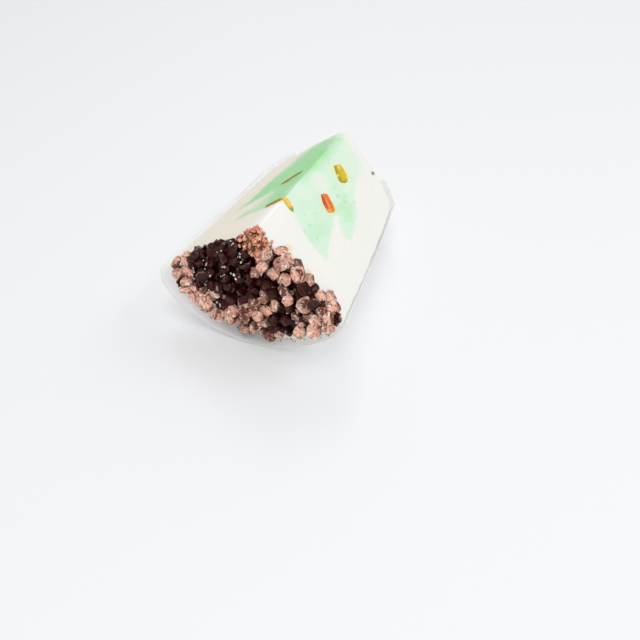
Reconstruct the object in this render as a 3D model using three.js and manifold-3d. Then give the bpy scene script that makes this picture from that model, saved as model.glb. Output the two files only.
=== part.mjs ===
// Spumoni: a wedge cut lengthwise from a round, tapered frozen pudding.
// The wedge lies on its curved outside, with the ridge, the middle line of
// the whole pudding, on top. It is cream ice with a pistachio filling that
// shows on both cut faces, candied fruit, a heap of chocolate drops on the
// wide end, and the paper liner of the mould still under it.
//
// Lengths are millimetres, +Z is up. The wide end with the chocolate faces
// -Y, and the ridge slopes down to the narrow end at +Y.
//
// Every piece is first drawn in the frame of the mould: u runs along the
// ridge from the wide end, r is the distance from the ridge, and the angle a
// is measured round the ridge from straight down, positive to +X.

import * as THREE from 'three';
import { mergeVertices } from 'three/addons/utils/BufferGeometryUtils.js';
import Module from 'manifold-3d';

const wasm = await Module();
wasm.setup();

const DEGREE = Math.PI / 180;

// Ice cream wedge
const WIDE_RADIUS = 46.5;
const NARROW_RADIUS = 38;
const CONE_LENGTH = 70;
const DOME_LENGTH = 12;
const BARREL = 0.8;
const HALF_ANGLE = 53.5 * DEGREE;
const END_LEAN = 0.16;
const RIDGE_ROUND = 0.8;
const LOWER_EDGE_ROUND = 1;
const RIM_ROUND = 4;

// Clearance between neighbouring pieces
const GAP = 0.3;

// Pistachio filling
const FILLING_START = 20.5;
const FILLING_END = 78;
const FILLING_OVERRUN = 5 * DEGREE;

// Candied fruit
const ORANGE_SIZE = [9, 4.9, 4];
const ORANGE_TURN = 58 * DEGREE;
const ORANGE_SEED = 31;
const CITRON_SIZE = [9, 6, 4];
const CITRON_TURN = 55 * DEGREE;
const CITRON_SEED = 77;
const FRUIT_SQUARENESS = 0.72;
const FRUIT_TAPER = 0.14;
const FRUIT_WOBBLE = 0.07;
const FRUIT_SINK = 1.3;
const PEEL_WIDTH = 2.2;
const PEEL_THICKNESS = 1.3;
const SLIVER_WIDTH = 1;

// Paper liner
const PAPER_THICKNESS = 0.6;
const PAPER_FRONT = 4.3;
const PAPER_SKEW = 3.6;
const PAPER_CORNER_CUT = 4;
const PAPER_CORNER_START = 0.85;
const PAPER_LEFT_REACH = 55 * DEGREE;
const PAPER_RIGHT_REACH = 51.5 * DEGREE;
const PAPER_LEFT_SPREAD = 1 * DEGREE;
const PAPER_RIGHT_SPREAD = 4.4 * DEGREE;
const PAPER_SPREAD_START = 56;
const PAPER_WRAP = 0.7;
const PAPER_LIFT = 2;
const REST_FLAT = 0.12;

// Chocolate heap
const DROP_DIAMETER = 5.2;
const DROP_HEIGHT = 3.2;
const DROP_SIDES = 6;
const DROP_PITCH = 4.8;
const DROP_SPREAD = 0.3;
const HEAP_CORE = 2.4;
const HEAP_INSET = 1.8;
const HEAP_BEVEL = 0.5;
const HEAP_SWELL = 2.2;
const HEAP_REACH = 45;
const CRUMB_COUNT = 22;
const HEAP_SEED = 90;

// The lowest line of the cone is level, so the ridge slopes by the taper.
const TILT = Math.atan((WIDE_RADIUS - NARROW_RADIUS) / CONE_LENGTH);

// Seeded random numbers between 0 and 1

function randomNumbers(seed) {
  let state = seed;
  return () => {
    state = (state * 16807) % 2147483647;
    return state / 2147483647;
  };
}

// Geometry helpers

const TURN = 2 * Math.PI;

// Within this much of each other, in either direction
function jitter(random, spread) {
  return (random() - 0.5) * spread;
}

function place(u, r, a) {
  return new THREE.Vector3(r * Math.sin(a), u, -r * Math.cos(a));
}

function coneRadius(u) {
  const s = u / CONE_LENGTH;
  const bulge = BARREL * 4 * s * (1 - s);
  return WIDE_RADIUS + (NARROW_RADIUS - WIDE_RADIUS) * s + bulge;
}

// Radius of the mould, also beyond the wide end of the pudding
function mouldRadius(u) {
  return coneRadius(Math.max(0, u)) - Math.min(0, u) * Math.tan(TILT);
}

function meshGeometry(points, triangles) {
  const geometry = new THREE.BufferGeometry();
  const numbers = points.flatMap((p) => [p.x, p.y, p.z]);
  geometry.setAttribute('position', new THREE.Float32BufferAttribute(numbers, 3));
  geometry.setIndex(triangles.flat());
  return geometry;
}

// Triangles of a flat outline, turned the same way as the outline.
function flatTriangles(outline) {
  const triangles = THREE.ShapeUtils.triangulateShape(outline, []);
  const turn = Math.sign(THREE.ShapeUtils.area(outline));
  return triangles.map(([a, b, c]) => {
    const same = Math.sign(THREE.ShapeUtils.area([outline[a], outline[b], outline[c]])) === turn;
    return same ? [a, b, c] : [a, c, b];
  });
}

// A closed skin over loops of equal length, with flat or nearly flat ends.
// ends holds the two end loops drawn in the plane, to split them by.
function loft(loops, ends) {
  const count = loops[0].length;
  const triangles = [];
  for (let i = 0; i + 1 < loops.length; i += 1) {
    for (let j = 0; j < count; j += 1) {
      const k = (j + 1) % count;
      const a = i * count + j;
      const b = i * count + k;
      triangles.push([a, b, b + count], [a, b + count, a + count]);
    }
  }
  const last = (loops.length - 1) * count;
  for (const [a, b, c] of flatTriangles(ends[0])) triangles.push([c, b, a]);
  for (const [a, b, c] of flatTriangles(ends[1])) triangles.push([last + a, last + b, last + c]);
  return meshGeometry(loops.flat(), triangles);
}

function solid(geometry) {
  const bare = geometry.clone();
  bare.deleteAttribute('normal');
  bare.deleteAttribute('uv');
  const merged = mergeVertices(bare, 1e-5);
  const position = merged.getAttribute('position').array;
  const index = merged.getIndex().array;
  const kept = [];
  for (let i = 0; i < index.length; i += 3) {
    const [a, b, c] = [index[i], index[i + 1], index[i + 2]];
    if (a !== b && b !== c && c !== a) kept.push(a, b, c);
  }
  const build = (triangles) => new wasm.Manifold(new wasm.Mesh({
    numProp: 3,
    vertProperties: Float32Array.from(position),
    triVerts: Uint32Array.from(triangles),
  }));
  const made = build(kept);
  return made.volume() > 0 ? made : build(kept.reverse());
}

function largestPiece(shape) {
  const pieces = shape.decompose();
  return pieces.reduce((a, b) => (a.volume() > b.volume() ? a : b));
}

function geometryOf(shape) {
  const mesh = shape.getMesh();
  const geometry = new THREE.BufferGeometry();
  const position = Float32Array.from(mesh.vertProperties);
  geometry.setAttribute('position', new THREE.BufferAttribute(position, 3));
  geometry.setIndex([...mesh.triVerts]);
  geometry.computeVertexNormals();
  return geometry;
}

// Cross-section of the wedge, square to the ridge. grow moves every side out.
// Near the tip of the dome the rounded edges shrink with the section.
function wedgeSection(radius, grow) {
  const fullRounding = 8;
  const size = Math.min(1, radius / fullRounding);
  const ridgeRound = RIDGE_ROUND * size;
  const edgeRound = LOWER_EDGE_ROUND * size;
  const raised = grow / Math.sin(HALF_ANGLE);
  const arc = radius + raised + grow;
  const points = [];
  const add = (centre, angle, reach) => {
    const x = centre.x + reach * Math.sin(angle);
    const depth = centre.y + reach * Math.cos(angle) - raised;
    points.push(new THREE.Vector2(x, depth));
  };
  const top = new THREE.Vector2(0, ridgeRound / Math.sin(HALF_ANGLE));
  const ridgeSteps = 4;
  for (let i = 0; i <= ridgeSteps; i += 1) {
    const turn = (1 - (2 * i) / ridgeSteps) * (Math.PI / 2 - HALF_ANGLE);
    add(top, Math.PI + turn, ridgeRound);
  }
  const lean = Math.asin(edgeRound / (arc - edgeRound));
  const corner = HALF_ANGLE - lean;
  const roundSteps = 3;
  const cornerArc = (side) => {
    const centre = new THREE.Vector2(Math.sin(corner * side), Math.cos(corner));
    centre.multiplyScalar(arc - edgeRound);
    for (let i = 0; i <= roundSteps; i += 1) {
      const s = side > 0 ? i / roundSteps : 1 - i / roundSteps;
      const angle = HALF_ANGLE + Math.PI / 2 + s * (corner - HALF_ANGLE - Math.PI / 2);
      add(centre, angle * side, edgeRound);
    }
  };
  cornerArc(1);
  const arcSteps = 20;
  const origin = new THREE.Vector2(0, 0);
  for (let i = 1; i < arcSteps; i += 1) {
    add(origin, corner * (1 - (2 * i) / arcSteps), arc);
  }
  cornerArc(-1);
  return points;
}

// Stations of the wedge along the ridge: its length coordinate and radius.
function wedgeStations() {
  const stations = [];
  const coneSteps = 9;
  const coneEnd = CONE_LENGTH - RIM_ROUND;
  for (let i = 0; i <= coneSteps; i += 1) {
    const u = (coneEnd * i) / coneSteps;
    stations.push([u, coneRadius(u)]);
  }
  const domePoint = (t) => [CONE_LENGTH + DOME_LENGTH * (1 - t * t), NARROW_RADIUS * t];
  const domeStart = 0.92;
  const rimPeak = CONE_LENGTH + 0.4;
  const from = stations[stations.length - 1];
  const to = domePoint(domeStart);
  const roundSteps = 4;
  for (let i = 1; i <= roundSteps; i += 1) {
    const s = i / roundSteps;
    const mix = (k, middle) => (1 - s) ** 2 * from[k] + 2 * s * (1 - s) * middle + s * s * to[k];
    stations.push([mix(0, rimPeak), mix(1, NARROW_RADIUS)]);
  }
  const domeSteps = 7;
  const domeTip = 0.02;
  for (let i = 1; i <= domeSteps; i += 1) {
    const t = domeStart + ((domeTip - domeStart) * i) / domeSteps;
    stations.push(domePoint(t));
  }
  return stations;
}

function wedge(grow) {
  const stations = wedgeStations();
  const last = stations.length - 1;
  stations[0][0] -= grow;
  stations[last][0] += grow;
  const sections = stations.map(([, radius]) => wedgeSection(radius, grow));
  const loops = sections.map((section, index) => {
    const u = stations[index][0];
    const lean = END_LEAN * Math.max(0, 1 - u / CONE_LENGTH);
    return section.map((p) => new THREE.Vector3(p.x, u - lean * p.y, -p.y));
  });
  return solid(loft(loops, [sections[0], sections[last]]));
}

// Pistachio filling. On each cut face it starts at the ridge, hangs down in
// two tongues with a notch of cream between them, and ends near the far rim.
// Points are [u, r], the same number on both faces.

const FILLING_RIGHT = [
  [FILLING_START, 0], [18.6, 8], [15.8, 15], [14.4, 21], [14, 27.2],
  [19.5, 25.6], [28, 22.8], [37, 20.4], [33, 25.4], [31.4, 30.4],
  [39, 29], [48, 26], [54.5, 21.6], [61, 18], [72.5, 16.6],
  [76.4, 8], [FILLING_END, 0],
];

const FILLING_LEFT = [
  [FILLING_START, 0], [19.8, 7], [19.3, 13], [18.9, 18], [18.4, 23.5],
  [22.5, 20.8], [28, 17.4], [33.8, 13.4], [32.6, 21.5], [30, 31],
  [37.5, 28.6], [46, 27.3], [54, 26], [62, 22.4], [71, 20.2],
  [79, 12], [FILLING_END, 0],
];

function fillingOutline(keys, grow) {
  const perKey = 2;
  const nearRidge = 0.05;
  const spots = keys.map(([u, r]) => new THREE.Vector3(u, r, 0));
  const curve = new THREE.CatmullRomCurve3(spots, false, 'centripetal');
  const samples = (keys.length - 1) * perKey;
  const points = [];
  for (let i = 0; i <= samples; i += 1) points.push(curve.getPoint(i / samples));
  return points.map((p, i) => {
    if (i === 0) return new THREE.Vector2(p.x - grow, 0);
    if (i === samples) return new THREE.Vector2(p.x + grow, 0);
    const run = points[i + 1].clone().sub(points[i - 1]).normalize();
    return new THREE.Vector2(p.x - run.y * grow, Math.max(nearRidge, p.y + run.x * grow));
  });
}

function filling(grow) {
  const right = fillingOutline(FILLING_RIGHT, grow);
  const left = fillingOutline(FILLING_LEFT, grow);
  const reach = HALF_ANGLE + FILLING_OVERRUN;
  const steps = 8;
  const loops = [];
  for (let i = 0; i <= steps; i += 1) {
    const a = reach * (1 - (2 * i) / steps);
    const s = THREE.MathUtils.smoothstep(a, -HALF_ANGLE, HALF_ANGLE);
    loops.push(right.map((p, j) => {
      const mixed = left[j].clone().lerp(p, s);
      return place(mixed.x, mixed.y, a);
    }));
  }
  return solid(loft(loops, [right, left]));
}

// A lump of fruit: an uneven, slightly squared ball lying in a cut face.
function lump(size, u, r, turn, seed, grow) {
  const random = randomNumbers(seed);
  const ball = new THREE.SphereGeometry(1, 14, 9);
  const position = ball.getAttribute('position');
  const [first, second] = [random() * TURN, random() * TURN];
  for (let i = 0; i < position.count; i += 1) {
    const p = new THREE.Vector3().fromBufferAttribute(position, i);
    const squared = (value) => Math.sign(value) * Math.abs(value) ** FRUIT_SQUARENESS;
    const [x, y, z] = p.toArray().map(squared);
    const wobble = 1 + FRUIT_WOBBLE * Math.sin(3 * p.x + first) * Math.cos(2.4 * p.y + second);
    const taper = 1 + FRUIT_TAPER * p.x;
    position.setXYZ(
      i,
      x * (size[0] / 2 + grow),
      y * ((size[1] / 2) * wobble * taper + grow),
      z * (size[2] / 2 + grow),
    );
  }
  return solid(ball.applyMatrix4(facePlacement(u, r, 1, turn, -FRUIT_SINK)));
}

function faceNormal(side) {
  return new THREE.Vector3(Math.cos(HALF_ANGLE) * side, 0, Math.sin(HALF_ANGLE));
}

// A point on the right (side 1) or left (side -1) cut face, lifted off it.
function facePoint(u, r, side, lift) {
  return place(u, r, HALF_ANGLE * side).addScaledVector(faceNormal(side), lift);
}

// Lays a piece's own x and y axes in a cut face, turned, with z outwards.
function facePlacement(u, r, side, turn, lift) {
  const a = HALF_ANGLE * side;
  const down = new THREE.Vector3(Math.sin(a), 0, -Math.cos(a));
  const outward = faceNormal(side);
  const along = new THREE.Vector3().crossVectors(down, outward);
  const frame = new THREE.Matrix4().makeBasis(along, down, outward);
  return new THREE.Matrix4()
    .setPosition(facePoint(u, r, side, lift))
    .multiply(frame)
    .multiply(new THREE.Matrix4().makeRotationZ(turn));
}

// A strip of peel: a rounded section swept along a path on the faces.
function strip(path, width, thickness, grow) {
  const section = new THREE.Shape();
  section.absellipse(0, 0, thickness / 2 + grow, width / 2 + grow, 0, TURN);
  const extrudePath = new THREE.CatmullRomCurve3(path);
  return solid(new THREE.ExtrudeGeometry(section, { steps: 12, curveSegments: 4, extrudePath }));
}

// Both strips lie half sunk in the ice.
function ridgePeel(grow) {
  const path = [
    facePoint(19.4 - grow / 2, 8.8 + grow, -1, 0),
    facePoint(20.4, 5.4, -1, 0),
    facePoint(21.2, 2.2, -1, 0),
    place(21.5, 0.4, 0),
    facePoint(21.3, 1.7, 1, 0),
    facePoint(20.8, 3.5, 1, 0),
    facePoint(20.2 - grow / 2, 5.7 + grow, 1, 0),
  ];
  return strip(path, PEEL_WIDTH, PEEL_THICKNESS, grow);
}

function leftSliver(grow) {
  const path = [
    facePoint(40 - grow, 13.2 + grow, -1, 0),
    facePoint(41.4, 10.9, -1, 0),
    facePoint(43.7, 8.2, -1, 0),
    facePoint(46.7 + grow, 4.7 - grow, -1, 0),
  ];
  return strip(path, SLIVER_WIDTH, SLIVER_WIDTH, grow);
}

const orangePiece = (grow) => lump(ORANGE_SIZE, 38.2, 14.2, ORANGE_TURN, ORANGE_SEED, grow);
const citronPiece = (grow) => lump(CITRON_SIZE, 58.1, 11, CITRON_TURN, CITRON_SEED, grow);

// Paper liner: a thin sheet round the outside, standing out at the wide end,
// and turned in round the far rim with a little air under it.
function paperOutline(front, thickness) {
  const inner = [];
  const coneSteps = 6;
  for (let i = 0; i <= coneSteps; i += 1) {
    const u = front + ((CONE_LENGTH - RIM_ROUND - front) * i) / coneSteps;
    inner.push(new THREE.Vector2(u, mouldRadius(u) + GAP));
  }
  const wrapSteps = 4;
  const liftAtRim = 0.35;
  for (let i = 0; i <= wrapSteps; i += 1) {
    const s = i / wrapSteps;
    const t = 1 - (1 - PAPER_WRAP) * s;
    const air = GAP + PAPER_LIFT * Math.min(1, liftAtRim + s);
    const slope = new THREE.Vector2(1, (2 * DOME_LENGTH * t) / NARROW_RADIUS).normalize();
    const u = CONE_LENGTH + DOME_LENGTH * (1 - t * t) + slope.x * air;
    inner.push(new THREE.Vector2(u, NARROW_RADIUS * t + slope.y * air));
  }
  const outer = inner.map((p, i) => {
    const before = inner[Math.max(0, i - 1)];
    const after = inner[Math.min(inner.length - 1, i + 1)];
    const run = after.clone().sub(before).normalize();
    return new THREE.Vector2(p.x - run.y * thickness, p.y + run.x * thickness);
  });
  return [...inner, ...outer.reverse()];
}

// How far round the ridge the liner reaches, from -1 at its left edge, which
// stands over the cut face, to 1 at its right edge. It opens at the far end.
function paperAngle(side, u) {
  const opening = THREE.MathUtils.smoothstep(u, PAPER_SPREAD_START, CONE_LENGTH);
  if (side < 0) return side * (PAPER_LEFT_REACH + opening * PAPER_LEFT_SPREAD);
  return side * (PAPER_RIGHT_REACH + opening * PAPER_RIGHT_SPREAD);
}

// The front edge of the liner, cut a little askew and rounded at its corners.
function paperFront(side) {
  const lean = END_LEAN * WIDE_RADIUS * Math.cos(paperAngle(side, 0));
  const past = Math.max(0, (Math.abs(side) - PAPER_CORNER_START) / (1 - PAPER_CORNER_START));
  return PAPER_SKEW * side - PAPER_FRONT - lean + PAPER_CORNER_CUT * past ** 2;
}

function paperLiner() {
  const steps = 26;
  const loops = [];
  const ends = [];
  for (let i = 0; i <= steps; i += 1) {
    const side = 1 - (2 * i) / steps;
    const outline = paperOutline(paperFront(side), PAPER_THICKNESS);
    loops.push(outline.map((p) => place(p.x, p.y, paperAngle(side, p.x))));
    if (i === 0 || i === steps) ends.push(outline);
  }
  return solid(loft(loops, ends));
}

// Chocolate heap: low rounded drops, seen from the base, the side or the tip,
// over a thin core on the leaning wide end. Some lie over the cut edges.

function dropGeometry(diameter, height, sides) {
  const profile = [
    [0, -0.5], [0.45, -0.4], [0.5, -0.02], [0, 0.5],
  ].map(([x, y]) => new THREE.Vector2(x * diameter, y * height));
  return new THREE.LatheGeometry(profile, sides);
}

// A point on the wide end: across, down the face from the ridge, and outwards.
function endPoint(across, down, out) {
  const scale = Math.hypot(1, END_LEAN);
  return new THREE.Vector3(
    across,
    (-END_LEAN * down - out) / scale,
    (-down + END_LEAN * out) / scale,
  );
}

function heapCore() {
  const reach = WIDE_RADIUS - HEAP_INSET;
  const halfAngle = HALF_ANGLE - HEAP_INSET / reach;
  const outline = new THREE.Shape();
  outline.moveTo(0, -HEAP_INSET / Math.sin(HALF_ANGLE));
  const steps = 14;
  for (let i = 0; i <= steps; i += 1) {
    const a = halfAngle * ((2 * i) / steps - 1);
    outline.lineTo(reach * Math.sin(a), -reach * Math.cos(a));
  }
  const slab = new THREE.ExtrudeGeometry(outline, {
    depth: HEAP_CORE - 2 * HEAP_BEVEL,
    bevelThickness: HEAP_BEVEL,
    bevelSize: HEAP_BEVEL,
    bevelSegments: 1,
  });
  const lean = new THREE.Matrix4().makeBasis(
    new THREE.Vector3(1, 0, 0),
    endPoint(0, -1, 0),
    endPoint(0, 0, 1),
  );
  lean.setPosition(endPoint(0, 0, GAP + HEAP_BEVEL));
  return solid(slab.applyMatrix4(lean));
}

function placedDrop(spot, random) {
  const diameter = DROP_DIAMETER * (1 + jitter(random, DROP_SPREAD));
  const height = DROP_HEIGHT * (1 + jitter(random, DROP_SPREAD));
  const drop = dropGeometry(diameter, height, DROP_SIDES);
  const nodding = 1.1;
  const nod = new THREE.Euler(jitter(random, nodding), random() * TURN, jitter(random, nodding));
  const quarter = random() < 0.5 ? TURN / 4 : -TURN / 4;
  drop.rotateX(quarter);
  drop.applyMatrix4(new THREE.Matrix4().makeRotationFromEuler(nod));
  drop.translate(spot.x, spot.y, spot.z);
  return solid(drop);
}

// Spots of the drops over the wide end, in rows down from the ridge. The heap
// swells a little left of its middle.
function dropSpots(random) {
  const spots = [];
  const unevenness = 1.4;
  const rowPitch = DROP_PITCH * 0.87;
  const rows = Math.floor(HEAP_REACH / rowPitch);
  const swell = { across: -6, down: 24, reach: 40 };
  for (let row = 1; row <= rows; row += 1) {
    const rowDown = row * rowPitch - 1;
    const inArc = Math.sqrt(Math.max(0, HEAP_REACH ** 2 - rowDown ** 2));
    const half = Math.min(rowDown * Math.tan(HALF_ANGLE), inArc);
    const count = Math.max(1, Math.round((2 * half) / DROP_PITCH));
    for (let i = 0; i <= count; i += 1) {
      const across = half * ((2 * i) / count - 1) + jitter(random, unevenness);
      const down = rowDown + jitter(random, unevenness);
      const middle = 1 - Math.hypot(across - swell.across, down - swell.down) / swell.reach;
      const out = HEAP_CORE + HEAP_SWELL * Math.max(0, middle) * random();
      if (Math.hypot(across, down) < HEAP_REACH) spots.push(endPoint(across, down, out));
    }
  }
  return spots;
}

// Spots of the drops that lie over the cut edges of the wide end.
function edgeSpots(random) {
  const spots = [];
  const [first, last] = [7, 42];
  for (let r = first; r < last; r += DROP_PITCH) {
    const edge = -END_LEAN * r * Math.cos(HALF_ANGLE);
    spots.push(facePoint(edge + 1.2 + 2 * random(), r, 1, 1.2));
    spots.push(facePoint(edge + 0.4 * random(), r, -1, 0.9));
  }
  return spots;
}

// Small crumbs gathered round the near end of the ridge.
function crumbs(random) {
  const pieces = [];
  for (let i = 0; i < CRUMB_COUNT; i += 1) {
    const across = jitter(random, 8);
    const down = Math.abs(across) / Math.tan(HALF_ANGLE) + 6 * random() - 1;
    const crumb = new THREE.IcosahedronGeometry(0.9 + 0.7 * random(), 0);
    crumb.translate(...endPoint(across, down, jitter(random, 3)).toArray());
    pieces.push(solid(crumb));
  }
  return pieces;
}

function chocolateHeap(keepClear, within) {
  const random = randomNumbers(HEAP_SEED);
  const spots = [...dropSpots(random), ...edgeSpots(random)];
  const pieces = [...spots.map((spot) => placedDrop(spot, random)), ...crumbs(random)];
  const heaped = pieces.reduce((a, b) => a.add(b), heapCore());
  return largestPiece(heaped.subtract(keepClear).intersect(within));
}

// A full cone just inside the paper, that the heap stays within.
function insideOfPaper() {
  const margin = 0.25;
  const [front, back] = [-20, 12];
  const side = [front, 0, back].map((u) => new THREE.Vector2(mouldRadius(u) - margin, u));
  const profile = [new THREE.Vector2(0, front), ...side, new THREE.Vector2(0, back)];
  return solid(new THREE.LatheGeometry(profile, 72));
}

// Pieces

const body = wedge(0);
const fruitMakers = [orangePiece, citronPiece, ridgePeel, leftSliver];
const fruitAndPeel = (grow) => fruitMakers.map((make) => make(grow));
const pockets = fruitAndPeel(GAP).reduce((a, b) => a.add(b));
const [orange, citron, peel, sliver] = fruitAndPeel(0);

const cream = largestPiece(body.subtract(filling(GAP)).subtract(pockets));
const pistachio = largestPiece(body.intersect(filling(0)).subtract(pockets));

// The whole lies tilted on its lowest line, which is cut a little flat.
const restDepth = Math.max(...Array.from({ length: CONE_LENGTH + 1 }, (_, u) => {
  const outside = coneRadius(u) + GAP + PAPER_THICKNESS;
  return u * Math.sin(TILT) + outside * Math.cos(TILT);
}));
const ridgeHeight = restDepth - REST_FLAT;

function aboveFloor() {
  const size = 300;
  const block = new THREE.BoxGeometry(size, size, size);
  block.translate(0, 0, size / 2 - ridgeHeight);
  block.rotateX(TILT);
  return solid(block);
}

const paper = paperLiner().intersect(aboveFloor());
const heap = chocolateHeap(wedge(GAP), insideOfPaper());

// Scene graph

const wedgeGroup = new THREE.Group();
wedgeGroup.rotation.x = -TILT;

function addPiece(name, shape, color, roughness) {
  const material = new THREE.MeshStandardMaterial({ color, roughness, metalness: 0 });
  const mesh = new THREE.Mesh(geometryOf(shape), material);
  mesh.name = name;
  wedgeGroup.add(mesh);
}

addPiece('Cream_Ice', cream, 0xf4f1e8, 0.55);
addPiece('Pistachio_Filling', pistachio, 0xc8ecc8, 0.55);
addPiece('Chocolate_Heap', heap, 0x6b3f34, 0.6);
addPiece('Candied_Orange', orange, 0xe5702f, 0.35);
addPiece('Candied_Citron', citron, 0xc9b02c, 0.35);
addPiece('Ridge_Peel', peel, 0xd9b43a, 0.4);
addPiece('Left_Sliver', sliver, 0x8c7a3a, 0.5);
addPiece('Paper_Liner', paper, 0xf3f3f2, 0.7);

// Origin at the middle of the underside

const group = new THREE.Group();
wedgeGroup.position.z = ridgeHeight;
group.add(wedgeGroup);
group.updateMatrixWorld(true);
const extent = new THREE.Box3().setFromObject(group, true);
const centre = extent.getCenter(new THREE.Vector3());
wedgeGroup.position.x = -centre.x;
wedgeGroup.position.y = -centre.y;

export default group;
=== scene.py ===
"""A wedge of spumoni: cream ice with a pistachio filling, candied fruit, a
heap of chocolate drops on the wide end, and the paper liner of its mould.

Lengths are metres, +Z is up, and the ridge of the wedge runs along +Y from
the wide end. Pieces are drawn in the frame of the mould, where x is across,
y runs along the ridge and z is up from it, and are then laid in place. A spot
on the wedge is given by its place along the ridge, its distance from the
ridge and its angle round the ridge from straight down, positive to +X.
"""

import math
import random
from functools import partialmethod

import bmesh
import bpy
import numpy as np
from bpy.props import FloatProperty, FloatVectorProperty, IntProperty, PointerProperty
from mathutils import Euler, Matrix, Vector, noise


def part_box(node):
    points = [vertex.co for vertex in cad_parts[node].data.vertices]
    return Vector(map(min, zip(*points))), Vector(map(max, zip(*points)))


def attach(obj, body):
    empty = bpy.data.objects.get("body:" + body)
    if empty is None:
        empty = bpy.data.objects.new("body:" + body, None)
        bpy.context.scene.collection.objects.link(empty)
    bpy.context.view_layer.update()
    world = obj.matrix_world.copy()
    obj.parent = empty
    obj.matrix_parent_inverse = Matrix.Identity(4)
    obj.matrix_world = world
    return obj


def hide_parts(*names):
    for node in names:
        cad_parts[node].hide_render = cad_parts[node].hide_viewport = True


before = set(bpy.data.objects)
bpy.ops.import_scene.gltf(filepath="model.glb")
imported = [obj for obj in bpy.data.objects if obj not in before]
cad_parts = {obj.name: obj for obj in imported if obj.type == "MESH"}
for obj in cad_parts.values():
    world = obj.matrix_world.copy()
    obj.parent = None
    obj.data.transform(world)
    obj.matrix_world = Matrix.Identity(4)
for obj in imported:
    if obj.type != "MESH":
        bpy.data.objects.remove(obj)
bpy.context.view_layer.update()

bl_info = {
    "name": "Spumoni wedge",
    "version": (1, 0, 0),
    "blender": (4, 5, 0),
    "location": "View3D > Sidebar > Spumoni",
    "description": "Makes a wedge of spumoni with its filling, fruit, chocolate and paper",
    "category": "Add Mesh",
}

MM = 0.001


# Settings

def length(name, description, mm):
    return FloatProperty(name=name, description=description, default=mm * MM, unit="LENGTH")


def colour(name, description, default):
    return FloatVectorProperty(
        name=name, description=description, subtype="COLOR", size=3, min=0, max=1, default=default)


class SpumoniSizes(bpy.types.PropertyGroup):
    """Sizes of the wedge and of what is on it."""

    wide_radius: length("Wide radius", "Ridge to outside at the wide end", 46.5)
    narrow_radius: length("Narrow radius", "Ridge to outside at the narrow end", 38)
    cone_length: length("Cone length", "Length of the tapered stretch", 70)
    dome_length: length("Dome length", "How far the narrow end bulges", 12)
    barrel: length("Barrel", "How far the tapered side bows out in the middle", 0.8)
    half_angle: FloatProperty(
        name="Half angle", description="Half the angle between the two cut faces",
        default=math.radians(53.5), subtype="ANGLE")
    end_lean: FloatProperty(
        name="End lean", description="Slope of the wide end against the ridge", default=0.16)
    ice_voxel: length("Ice detail", "Size of the faces of the ice cream", 0.5)
    drop_diameter: length("Drop diameter", "Width of a chocolate drop", 5.2)
    paper_thickness: length("Paper thickness", "Thickness of the liner", 0.32)
    paper_front: length("Paper front", "How far the liner stands out at the wide end", 4.3)
    paper_skew: length("Paper skew", "How much further it stands out on the left than in the middle", 3.6)
    seed: IntProperty(name="Seed", description="Seed of the scattered chocolate", default=7)


class SpumoniColours(bpy.types.PropertyGroup):
    """Colours of the finishes, in linear light."""

    cream: colour("Cream", "Plain cream ice", (0.83, 0.825, 0.78))
    # Warm cream is also painted over the left cut face as painted shade.
    cream_warm: colour("Warm cream", "Cream ice in its deeper patches", (0.92, 0.85, 0.715))
    pistachio: colour("Pistachio", "Pistachio ice", (0.655, 0.83, 0.675))
    pistachio_deep: colour("Deep pistachio", "Pistachio ice in its deeper streaks", (0.37, 0.75, 0.35))
    pistachio_pale: colour("Pale pistachio", "Pistachio ice mixed with cream", (0.76, 0.835, 0.725))
    chocolate: colour("Chocolate", "Dark chocolate", (0.034, 0.0065, 0.005))
    frosted: colour("Frosted chocolate", "Chocolate under a pale bloom", (0.89, 0.48, 0.36))
    crumb: colour("Crumb", "Broken chocolate crumbs", (0.84, 0.34, 0.20))
    orange: colour("Orange", "Candied orange", (0.96, 0.29, 0.05))
    citron: colour("Citron", "Candied citron", (0.66, 0.49, 0.01))
    peel: colour("Peel", "Candied peel", (0.88, 0.57, 0.03))
    paper: colour("Paper", "White paper", (0.96, 0.955, 0.94))
    surface: colour("Surface", "What the wedge stands on", (0.835, 0.845, 0.86))


def sizes():
    return bpy.context.scene.spumoni_sizes


def colours():
    return bpy.context.scene.spumoni_colours


# Frame of the mould

def tilt():
    """Slope of the ridge, which is the taper of the cone."""
    s = sizes()
    return math.atan((s.wide_radius - s.narrow_radius) / s.cone_length)


def mould_frame():
    """Takes a point drawn in the frame of the mould to its place."""
    s = sizes()
    low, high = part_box("Cream_Ice")
    ridge_length = s.cone_length + s.dome_length
    ridge_round = 0.2 * MM
    top = Vector((
        (low.x + high.x) / 2,
        high.y - ridge_length * math.cos(tilt()),
        high.z + ridge_round,
    ))
    return Matrix.Translation(top) @ Matrix.Rotation(-tilt(), 4, "X")


def cone_radius(along):
    s = sizes()
    part = along / s.cone_length
    return s.wide_radius + (s.narrow_radius - s.wide_radius) * part + s.barrel * 4 * part * (1 - part)


def spot(along, radius, angle):
    return Vector((radius * math.sin(angle), along, -radius * math.cos(angle)))


def face_normal(side):
    half = sizes().half_angle
    return Vector((side * math.cos(half), 0, math.sin(half)))


def face_spot(along, radius, side, lift=0.0):
    """A point on the right (side 1) or left (side -1) cut face."""
    return spot(along, radius, side * sizes().half_angle) + face_normal(side) * lift


def end_spot(across, down, out=0.0):
    """A point on the wide end: across, down from the ridge, and outwards."""
    lean = sizes().end_lean
    scale = math.hypot(1, lean)
    return Vector((across, (-lean * down - out) / scale, (-down + lean * out) / scale))


# Mesh helpers

def to_mesh(name, bm):
    mesh = bpy.data.meshes.new(name)
    bm.to_mesh(mesh)
    bm.free()
    return mesh


def into_scene(name, data):
    made = bpy.data.objects.new(name, data)
    bpy.context.scene.collection.objects.link(made)
    return made


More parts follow.
